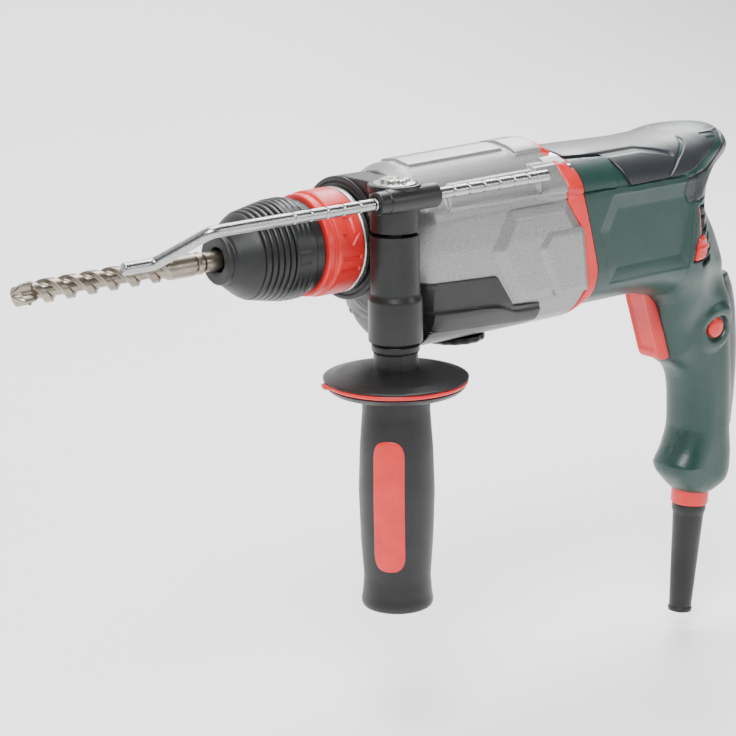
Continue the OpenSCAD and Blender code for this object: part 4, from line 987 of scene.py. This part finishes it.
def inset(outline, distance):
    """A closed outline moved inwards by that distance, point by point."""
    outline = np.asarray(outline, float)
    forward = np.roll(outline, -1, 0) - outline
    behind = outline - np.roll(outline, 1, 0)
    turn = forward / (np.linalg.norm(forward, axis=1, keepdims=True) + 1e-9)
    turn += behind / (np.linalg.norm(behind, axis=1, keepdims=True) + 1e-9)
    turn /= np.linalg.norm(turn, axis=1, keepdims=True) + 1e-9
    (x, y), (next_x, next_y) = outline.T, np.roll(outline, -1, 0).T
    area = np.sum(x * next_y - next_x * y)
    return outline + np.stack([-turn[:, 1], turn[:, 0]], -1) * np.sign(area) * distance


def along_axis(axis, along, a, b):
    """Points with one coordinate along an axis and two across it, in alphabetical order."""
    return np.stack({"x": (along, a, b), "y": (a, along, b), "z": (a, b, along)}[axis], -1)


def pressed(outline, low, high, edge, axis="y", rows=9):
    """A block with that outline, extruded from low to high, its two rims rounded by edge."""
    arc = np.linspace(0, np.pi / 2, 6)
    steps = [(edge * (1 - np.sin(a)), low + edge * (1 - np.cos(a))) for a in arc]
    steps += [(0, low + edge + (high - low - 2 * edge) * k / rows) for k in range(1, rows)]
    steps += [(edge * (1 - np.cos(a)), high - edge * (1 - np.sin(a))) for a in arc]
    grid = []
    for distance, at in steps:
        ring = inset(outline, distance)
        a, b = ring[:, 0], ring[:, 1]
        grid.append(along_axis(axis, at + 0 * a, a, b))
    return np.array(grid)


# The finger bed is 1.1 mm deep, on the front face only, and leaves a rim at both flanks.
trigger_line = smooth_outline(TRIGGER, 2.4, 300)
trigger_block = pressed(trigger_line, -9, 9, 1.6, rows=30)
tx, ty, tz = trigger_block[..., 0], trigger_block[..., 1], trigger_block[..., 2]
face_x = np.interp(-tz, [57, 66, 80, 92, 100], [285, 287.4, 292, 296, 298.5])
face_side = 1 - ease((tx - face_x - 0.5) / 2)
finger_bed = (1 - ease((np.abs(ty) - 5.2) / 2.2)) * (1 - ease((-94 - tz) / 4))
trigger_block[..., 0] += 1.1 * face_side * finger_bed
piece("trigger_lever", [sheet_of(trigger_block)], "trigger_unit", red_plastic,
    ["trigger"], 35)


def turned(profile, cut=0.5, axis="x", centre=(0, 0, 0), segments=144, ring=False, relief=None, step=0):
    """Body of revolution: a profile of (station, radius) with corners rounded by cut, swept
    round an axis through centre. A ring's profile is closed; relief(station, angle, radius)
    is added to the radius on a profile that is refined to that step."""
    line = rounded(profile, cut, 5, closed=ring)
    if step:
        closed_line = np.concatenate([line, line[:1]]) if ring else line
        fine = [closed_line[:1]]
        for a, b in zip(closed_line[:-1], closed_line[1:]):
            parts = max(1, int(np.ceil(np.linalg.norm(b - a) / step)))
            fine.append(a + (b - a) * np.linspace(0, 1, parts + 1)[1:, None])
        line = np.concatenate(fine)[: -1 if ring else None]
    angle = np.linspace(0, 2 * np.pi, segments, endpoint=False)[None, :]
    along, radius = line[:, :1] + 0 * angle, line[:, 1:] + 0 * angle
    if relief:
        radius = radius + relief(along, angle, radius)
    a, b = radius * np.cos(angle), radius * np.sin(angle)
    p = along_axis(axis, along, a, b) + np.asarray(centre)
    return sheet_of(p, wrap_u=ring, caps="none" if ring else "both")


BUTTON_PROFILE = [(-9, 5.9), (-18.6, 6.1), (-19.6, 5.9), (-20.2, 4.6), (-20.6, 2.4), (-20.65, 0.4)]
button_body = turned(BUTTON_PROFILE, 1.2, "y", (BUTTON[0], 0, BUTTON[1]), 96)
piece("lock_knob", [button_body], "button_unit", red_plastic, ["lock_button"], 50)

# ---------------------------------------------------------------- cable exit
# A red gland at the foot of the grip holds the rubber bend sleeve: a smooth tapered tube with
# a small bead at its end and the open bore for the cable.

GLAND_AT = (335.0, -190.0)
GLAND_TILT = math.radians(5)
SLEEVE_END = -72.0


def tilted(sheet):
    """Turns a sheet round the gland's own Y axis and moves it to the foot of the grip."""
    verts, faces = sheet
    c, s = math.cos(GLAND_TILT), math.sin(GLAND_TILT)
    x, y, z = verts.T
    return np.stack([c * x + s * z + GLAND_AT[0], y, -s * x + c * z + GLAND_AT[1]], -1), faces


gland = turned([(-6, 4.1), (-6, 10.2), (-5, 11), (10, 11), (12, 10), (12, 4.1)], 0.8, "z", ring=True)
piece("cable_clamp", [tilted(gland)], "machine", red_plastic, ["cable_gland"], 40)
black_rubber = moulded("black_rubber", (0.009, 0.0095, 0.010), 0.45, 0.3, 0.0002, 1900)
bend_tube = turned([(-6, 4.1), (-6, 10), (-9, 10), (-12, 9.1), (SLEEVE_END + 3, 6.6),
    (SLEEVE_END + 2.4, 7.2), (SLEEVE_END, 7.0), (SLEEVE_END, 4.1)], 0.5, "z", segments=120, ring=True)
piece("bend_tube", [tilted(bend_tube)], "machine", black_rubber, ["bend_sleeve"], 40)

# ---------------------------------------------------------------- mode knob
# A flat black knob under the gearbox with a red pointer; its rim is scalloped for the fingers.

KNOB_AT = (151.0, 0.0)
knob_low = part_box("mode_knob")[0].z * 1000
knob_top = -61.4


def scallops(along, angle, radius):
    """Sixteen shallow finger hollows round the knob's rim."""
    return -0.6 * (0.5 + 0.5 * np.cos(16 * angle)) * (radius > 15)


knob = turned([(knob_top, 17.2), (knob_low + 1.2, 17.8), (knob_low, 16.6), (knob_low, 2)], 0.8, "z",
    (*KNOB_AT, 0), 192, relief=scallops)
piece("knob_disc", [knob], "knob_unit", black_plastic, ["mode_knob"], 40)
pointer_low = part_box("knob_pointer")[0].z * 1000
POINTER = [(147.4, -2.8), (165, -2.8), (170.6, -1.4), (170.6, 1.4), (165, 2.8), (147.4, 2.8)]
pointer = pressed(smooth_outline(POINTER, 1.2, 120), pointer_low, knob_low + 0.4, 0.5, "z", 3)
piece("knob_arrow", [sheet_of(pointer)], "knob_unit", red_plastic, ["knob_pointer"], 40)

# ---------------------------------------------------------------- chuck
# In line from the bit: a rubber dust cap, a ribbed locking sleeve on a spring, and the body
# that carries them on the spindle. Rubber and plastic parts snap over each other.

FIN_PITCH = 3.2
cap = turned([(3, 5.9), (-0.2, 6.2), (-1.2, 7.6), (-1.4, 12.0), (-0.6, 12.8), (1.0, 12.9), (1.6, 12.4),
    (2.4, 12.8), (3.0, 13.8), (11.0, 20.0), (13.2, 21.4), (14, 21.4), (14, 8), (8, 6)], 0.5, ring=True,
    segments=160)
piece("dust_boot", [cap], "spindle_unit", black_rubber, ["dust_cap"], 40)

SLEEVE_FRONT = 14.0
SKIRT_REAR = 43.0
SLEEVE_BORE = 18.7
RIB_PITCH = 3.0
sleeve_profile = [(SLEEVE_FRONT + 0.1, SLEEVE_BORE)]
for k in range(5):
    root, tip, at = 20.9 + 0.6 * k, 22.4 + 0.62 * k, SLEEVE_FRONT + 0.2 + FIN_PITCH * k
    sleeve_profile += [(at, root), (at + 0.4, tip - 0.5), (at + 1.0, tip)]
    sleeve_profile += [(at + 2.3, tip + 0.2), (at + 2.6, root + 0.4)]
sleeve_profile += [(30.2, 23.4), (30.5, 24.9), (31.2, 25.2), (SKIRT_REAR - 0.6, 25.5),
    (SKIRT_REAR, 25.2), (SKIRT_REAR, 24.4), (33.5, 24.3), (31.5, SLEEVE_BORE)]


def sleeve_marks(along, angle, radius):
    """On the smooth skirt: three crescent ribs above and below each flank, which fade out
    towards its middle, and a small sunk block there that shows the locked place."""
    from_flank = np.abs((angle + np.pi / 2) % np.pi - np.pi / 2)
    grip = ease((from_flank - 0.35) / 0.3)
    turns = (along - 33.2 - 2.2 * from_flank) / RIB_PITCH
    wave = np.abs(turns - np.round(turns)) * RIB_PITCH
    ridge = 0.5 * (1 - ease((wave - 0.35) / 0.6)) * grip * ease(along - 31.8) * ease(42.2 - along)
    block = np.minimum(3.2 - np.abs(along - 35.4), 3.0 - np.abs(from_flank * 25))
    return np.where(radius > 24.8, ridge - 0.5 * ease(block / 0.4 + 0.5), 0)


sleeve_body = turned(sleeve_profile, 0.3, segments=360, ring=True, relief=sleeve_marks, step=0.5)
piece("ribbed_sleeve", [sleeve_body], "sleeve", black_plastic, ["locking_sleeve"], 40)
body_profile = [(30, 12), (42.4, 12), (42.4, 23.4), (48.6, 23.8), (49, 23.4), (49, 10), (30, 10)]
piece("chuck_barrel", [turned(body_profile, 0.4, ring=True, segments=160)], "spindle_unit", black_plastic,
    ["chuck_body"], 40)

# ---------------------------------------------------------------- quick-release ring
# Red acetal. Turned by hand to take the whole chuck off: an arrow and three bars, sunk into
# its skin, show the way round. Behind it sits a pressed pale metal ring.

ring_profile = [(49.5, 22), (49.5, 25.3), (50, 26), (53.1, 26.1), (53.6, 25.3), (54.6, 25.3),
    (55.1, 26.7), (56, 27), (70.3, 27), (71, 26.4), (71, 22)]
ARROW = [(61.2, 17.0), (65.6, 17.0), (65.6, 8.4), (68.6, 8.4), (63.4, 2.2), (58.2, 8.4), (61.2, 8.4)]
ARROW_FACING = math.radians(180)


def release_marks(along, angle, radius):
    """The sunk arrow, one bar above it and two bars below, and the same on the far side."""
    arc = ((angle - ARROW_FACING + np.pi / 2) % np.pi - np.pi / 2) * -27
    sunk = inside_by(ARROW, along, arc)
    for middle in (24.5, -4.0, -10.5):
        sunk = np.maximum(sunk, np.minimum(5.5 - np.abs(along - 63.2), 1.1 - np.abs(arc - middle)))
    return np.where(radius > 26.2, -0.7 * ease(sunk / 0.35 + 0.5), 0)


release = turned(ring_profile, 0.35, segments=540, ring=True, relief=release_marks, step=0.5)
piece("release_ring", [release], "release_ring", red_plastic, ["quick_release_ring"], 30)
pale_metal = steel_finish("pale_metal", (0.70, 0.69, 0.66), 0.33, (1, 6, 6))
retainer = turned([(71.3, 20), (71.3, 26.2), (72, 26.9), (74.4, 26.9), (75, 26.2), (75, 20)], 0.4,
    ring=True, segments=180)
piece("snap_ring", [retainer], "machine", pale_metal, ["retaining_ring"], 40)
collar_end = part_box("nose_collar")[1].x * 1000 - nose_x
collar = turned([(75.3, 17), (75.3, 23.4), (76, 24.4), (97, 24.7), (97.6, 24.9), (collar_end, 24.9),
    (collar_end, 17)], 0.4, ring=True, segments=160)
piece("nose_seat", [collar], "machine", black_plastic, ["nose_collar"], 40)

# ---------------------------------------------------------------- side handle clamp
# Two glass-filled jaws close round the nose collar when the grip is turned. The upper jaw
# carries the tube of the depth stop; the lower one stands on the handle's neck.

COLUMN_AT = (81.4, -37.6)
ROD_AT = (-46.5, 26.3)
SLIT_LOW, SLIT_HIGH = 7.5, 9.5
BAND_RADIUS = 31.8


def half_band(first, last):
    """Part of the clamp band between two angles, as a block with a grooved front face."""
    profile = rounded([(76, 25.2), (76, 28.4), (76.7, 28.6), (76.7, 29.2), (76, 29.4), (76, 31.2),
        (76.6, BAND_RADIUS), (95.4, BAND_RADIUS), (96, 31.2), (96, 25.2)], 0.3, 4)
    angle = np.linspace(first, last, 150)[:, None]
    x, r = profile[None, :, 0], profile[None, :, 1]
    return sheet_of(np.stack([x + 0 * angle, r * np.cos(angle), r * np.sin(angle)], -1))


def on_column(profile, cut, segments, **more):
    """A body of revolution about the upright axis of the side handle."""
    return turned(profile, cut, "z", (*COLUMN_AT, 0), segments, **more)


gap_angle = math.asin(SLIT_HIGH / BAND_RADIUS)
low_angle = math.asin(SLIT_LOW / BAND_RADIUS)
STRAP = [(2, 31.9), (-30, 32.2), (-40, 31.6), (-40, 11), (-28.6, 11), (-24, 19), (-10, 28)]
TUBE_WEB = [(-36, 31.6), (-50, 30.6), (-52, 27), (-50, 22), (-36, 20)]
LOWER_WEB = [(-29.2, 5.5), (-40, 6.5), (-40, -22), (-33, -22), (-29.5, -14)]
upper_jaw = [
    half_band(-0.02, math.pi - gap_angle),
    sheet_of(pressed(smooth_outline(STRAP, 1.2, 200), 77.5, 94.5, 0.8, "x")),
    on_column([(SLIT_HIGH, 12.3), (28.6, 12.5), (29.4, 13.3), (32.6, 13.5), (33.2, 13.1), (33.2, 11.4),
        (32.6, 11)], 0.5, 120),
    turned([(62.2, 3.2), (62.2, 5.4), (62.6, 5.8), (68, 5.9), (68.6, 6.3), (99.5, 6.3), (100, 5.8),
        (100, 3.2)], 0.4, "x", (0, *ROD_AT), 96, ring=True),
    sheet_of(pressed(smooth_outline(TUBE_WEB, 1.5, 120), 68.6, 95, 0.8, "x")),
]
piece("upper_clamp", upper_jaw, "side_handle", black_plastic, ["handle_upper_jaw"], 35)
lower_jaw = [
    half_band(math.pi - low_angle, 2 * math.pi - 0.02),
    sheet_of(pressed(smooth_outline(LOWER_WEB, 1.2, 140), 77.5, 94.5, 0.8, "x")),
    on_column([(-47.7, 12.9), (-46.9, 13.8), (-25.5, 13.7), (-22.5, 12.5), (SLIT_LOW, 12.4)], 0.8, 120),
]
piece("lower_clamp", lower_jaw, "side_handle", black_plastic, ["handle_lower_jaw"], 35)

# ---------------------------------------------------------------- clamp bolt
# A plated bolt with a flange and a six-lobed head pulls the jaws together; it passes down the
# column into the grip.


def star_lobes(along, angle, radius):
    """Six hollows round the head of the bolt."""
    return np.where((along > 33.9) & (radius > 5), -1.5 * (0.5 + 0.5 * np.cos(6 * angle)) ** 2, 0)


plated_steel = steel_finish("plated_steel", (0.62, 0.61, 0.58), 0.26)
bolt = on_column([(-90, 3.8), (32.6, 3.8), (32.7, 10.6), (33.3, 10.8), (33.7, 10.2), (33.8, 7.9),
    (35.4, 7.7), (35.8, 7), (35.7, 3), (35.0, 2.6), (35.0, 0.4)], 0.3, 240, relief=star_lobes, step=0.8)
piece("star_bolt", [bolt], "side_grip", plated_steel, ["clamp_bolt"], 35)

# ---------------------------------------------------------------- handle neck and guard disc
# The neck has two flats for a wrench. Below it the guard disc keeps the hand off the chuck;
# a red elastic ring with a tab parts it from the lower disc and takes up vibration.


def wrench_flats(along, angle, radius):
    """Two flats across the neck's lower part, facing across the drill axis."""
    flat = 10.4 / np.maximum(np.abs(np.sin(angle)), 0.1)
    return np.where((along < -52.5) & (radius > 8), np.minimum(radius, flat) - radius, 0)


neck = on_column([(-62, 11.2), (-52.6, 11.4), (-51.9, 12.2), (-48.8, 12.4), (-48.2, 11.8)], 0.6, 144,
    relief=wrench_flats, step=0.8)
piece("wrench_neck", [neck], "side_grip", black_plastic, ["handle_neck"], 35)
disc = on_column([(-61.6, 11), (-61.9, 14), (-63.6, 30), (-65.2, 36.4), (-65.7, 37.1), (-66.2, 36.6),
    (-66.3, 31), (-68.7, 31), (-68.8, 35.2), (-69.4, 36.0), (-72, 33.6), (-73.8, 27.5), (-74.2, 16)],
    0.8, 220)
piece("guard_plate", [disc], "side_grip", black_plastic, ["guard_disc"], 35)


def damper_tab(along, angle, radius):
    """The tab of the elastic ring: a short block that stands out of the gap."""
    turn = (angle - math.radians(160) + np.pi) % (2 * np.pi) - np.pi
    return np.where(radius > 33, 2.4 * (1 - ease((np.abs(turn) * 36 - 2.2) / 0.8)), 0)


damper = on_column([(-66.4, 31.4), (-66.4, 36.2), (-67, 36.7), (-68.0, 36.7), (-68.6, 36.2),
    (-68.6, 31.4)], 0.3, 360, ring=True, relief=damper_tab)
piece("damper_ring", [damper], "side_grip", red_plastic, ["damping_ring"], 35)

# ---------------------------------------------------------------- side grip
# A tube of black rubber over a plastic core, waisted near its lower end, with a long red inlay
# moulded into its front, on the near side.

GRIP_PROFILE = [(-74.1, 15.5), (-74.6, 17.5), (-83, 17.3), (-102, 18.7), (-125, 19.5), (-152, 18.6),
    (-171, 17.2), (-180, 17.9), (-184.5, 18.7), (-187, 17.8), (-187.5, 15)]
grip_curve = rounded(GRIP_PROFILE, 6, 9, closed=False)
grip_tube = on_column(GRIP_PROFILE, 2.0, 144, step=0.8)
piece("grip_rubber", [grip_tube], "side_grip", black_rubber, ["grip_sleeve"], 50)
core = on_column([(-86, 6), (-74.2, 6.2), (-73.9, 11.4), (-73.9, 11.4), (-80, 11.4), (-180, 11)], 0.3, 96)
piece("grip_core_tube", [core], "side_grip", dark_moulding, ["grip_core"], 35)
INLAY_TURN = math.radians(-142)
INLAY = [(-8.2, -95), (8.2, -95), (8.2, -164.4), (-8.2, -164.4)]
inlay_line = smooth_outline(INLAY, 9, 260)


def inlay_sheet():
    """The inlay's rings of (arc, height) wrapped on the grip's round skin."""
    steps = [(0, -2), (0, 0.15), (0.25, 0.4), (0.8, 0.55), (1.6, 0.6)]
    rings = [(inset(inlay_line, distance), lift) for distance, lift in steps]
    centre = inlay_line.mean(0)
    last = rings[-1][0]
    rings += [(centre + (last - centre) * (1 - k / 12), 0.6) for k in range(1, 12)]
    grid = []
    for ring, lift in rings:
        radius = np.interp(-ring[:, 1], -grip_curve[:, 0], grip_curve[:, 1])
        angle = INLAY_TURN + ring[:, 0] / radius
        out = (radius + lift)[:, None] * np.stack([np.cos(angle), np.sin(angle)], -1)
        grid.append(np.column_stack([COLUMN_AT + out, ring[:, 1]]))
    return np.array(grid)


piece("red_inlay", [sheet_of(inlay_sheet())], "side_grip", red_plastic, ["grip_inlay"], 40)

# ---------------------------------------------------------------- depth stop rod
# Zinc-plated bar, six millimetres thick, rolled with a notch every ten millimetres and bent
# twice so that its nose runs close beside the bit.

ROD_PATH = [(176, *ROD_AT), (-36, *ROD_AT), (-53, -24, 10), (-71, -24, 10)]
ROD_RADIUS = 3.0
NOTCH_PITCH = 10
ROD_STEP = 0.25


def swept(path, radius, segments=48):
    """A round bar along a path of points, with one radius per point."""
    forward = np.gradient(path, axis=0)
    forward /= np.linalg.norm(forward, axis=1, keepdims=True)
    side_way = np.cross(forward, [0, 0, 1.0])
    side_way /= np.linalg.norm(side_way, axis=1, keepdims=True)
    up_way = np.cross(side_way, forward)
    angle = np.linspace(0, 2 * np.pi, segments, endpoint=False)[None, :, None]
    out = np.cos(angle) * side_way[:, None] + np.sin(angle) * up_way[:, None]
    return path[:, None] + out * np.asarray(radius)[:, None, None]


rod_line = softened(ROD_PATH, 12, ROD_STEP)
pitches = (rod_line[:, 0] - 11) / NOTCH_PITCH
from_notch = np.abs(pitches - np.round(pitches)) * NOTCH_PITCH
notched = (rod_line[:, 0] > 6) & (rod_line[:, 0] < 168)
rod_radius = ROD_RADIUS - 0.45 * (1 - ease((from_notch - 0.35) / 0.5)) * notched
count = np.arange(len(rod_line))
rod_radius *= swell(np.minimum(count, count[::-1]) * ROD_STEP + 0.05, 2)
zinc = steel_finish("zinc_plate", (0.42, 0.43, 0.43), 0.24, (1, 6, 6))
rod = sheet_of(swept(rod_line, rod_radius))
piece("stop_bar", [rod], "depth_stop", zinc, ["depth_stop_rod"], 40)

# ---------------------------------------------------------------- drill bit
# A milled two-start flute in hardened steel, sand-blasted to a warm grey, behind a brazed
# carbide head with four edges. The shank is round, with a groove in front of the chuck.

bit_nose, bit_tail = (end.x * 1000 - nose_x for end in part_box("drill_bit"))
FLUTE_END = -30.0
FLUTE_LEAD = 24.0
fluted_x = np.linspace(bit_nose + 9.5, FLUTE_END + 6, 330)
shank_x = np.linspace(FLUTE_END + 6.5, bit_tail - 0.6, 120)
bit_x = np.concatenate([fluted_x, shank_x, [bit_tail - 0.3, bit_tail]])[:, None]
bit_angle = np.linspace(0, 2 * np.pi, 96, endpoint=False)[None, :]
thick = np.interp(bit_x, [bit_nose, FLUTE_END, -15.2, -15.0, -13.2, -13.0, -10.5, -10.0, bit_tail],
    [5.7, 5.8, 5.8, 5.2, 5.2, 5.6, 5.6, 4.95, 4.95])
# Two flutes: the radius drops by 2.5 mm where a double wave round the bit, turned once per
# lead along it, is positive.
wave = np.cos(2 * (bit_angle - 2 * np.pi * bit_x / FLUTE_LEAD))
cutting = ease((wave + 0.55) / 0.75) * (1 - ease((bit_x - FLUTE_END + 6) / 8))
bit_radius = thick - 2.5 * cutting
bit_radius[-1] *= 0.9
around = (np.cos(bit_angle), np.sin(bit_angle))
bit_body = np.stack([bit_x + 0 * bit_angle, *(bit_radius * turn for turn in around)], -1)
head_t = np.linspace(0, 1, 60)[:, None]
head_x = bit_nose + 11.5 * head_t
edge_at = np.abs(np.cos(2 * (bit_angle - 0.4)))
point = swell(head_t * 2.6 + 0.02, 1.35)
edge_height = 0.35 + 0.65 * (1 - ease((head_t - 0.75) / 0.3)) ** 0.5
head_radius = point * (3.4 + 3.1 * edge_at**5 * edge_height)
head = np.stack([head_x + 0 * bit_angle, *(head_radius * turn for turn in around)], -1)
bit_steel = steel_finish("blasted_steel", (0.30, 0.26, 0.21), 0.32)
bit_sheets = [sheet_of(bit_body), sheet_of(head)]
piece("fluted_bit", bit_sheets, "bit", bit_steel, ["drill_bit"], 40)

# ---------------------------------------------------------------- handle screws
# Three thread-forming steel screws hold the half shells. Their heads, with a round socket,
# lie flush in the far flank of the grip.

HANDLE_SCREWS = [(346, -66), (343, -140), (332, -170)]
screw_bodies = []
skins = body_y(*np.array(HANDLE_SCREWS, float).T)
for (screw_x, screw_z), skin in zip(HANDLE_SCREWS, skins):
    profile = [(1, 1.6), (skin - 2, 1.9), (skin - 1.9, 3.3), (skin + 0.2, 3.3), (skin + 0.5, 2.6),
        (skin + 0.4, 1.6), (skin - 0.9, 1.4), (skin - 0.9, 0.3)]
    screw_bodies.append(turned(profile, 0.2, "y", (screw_x, 0, screw_z), 48))
piece("shell_screws", screw_bodies, "machine", screw_steel, ["handle_screws"], 35)
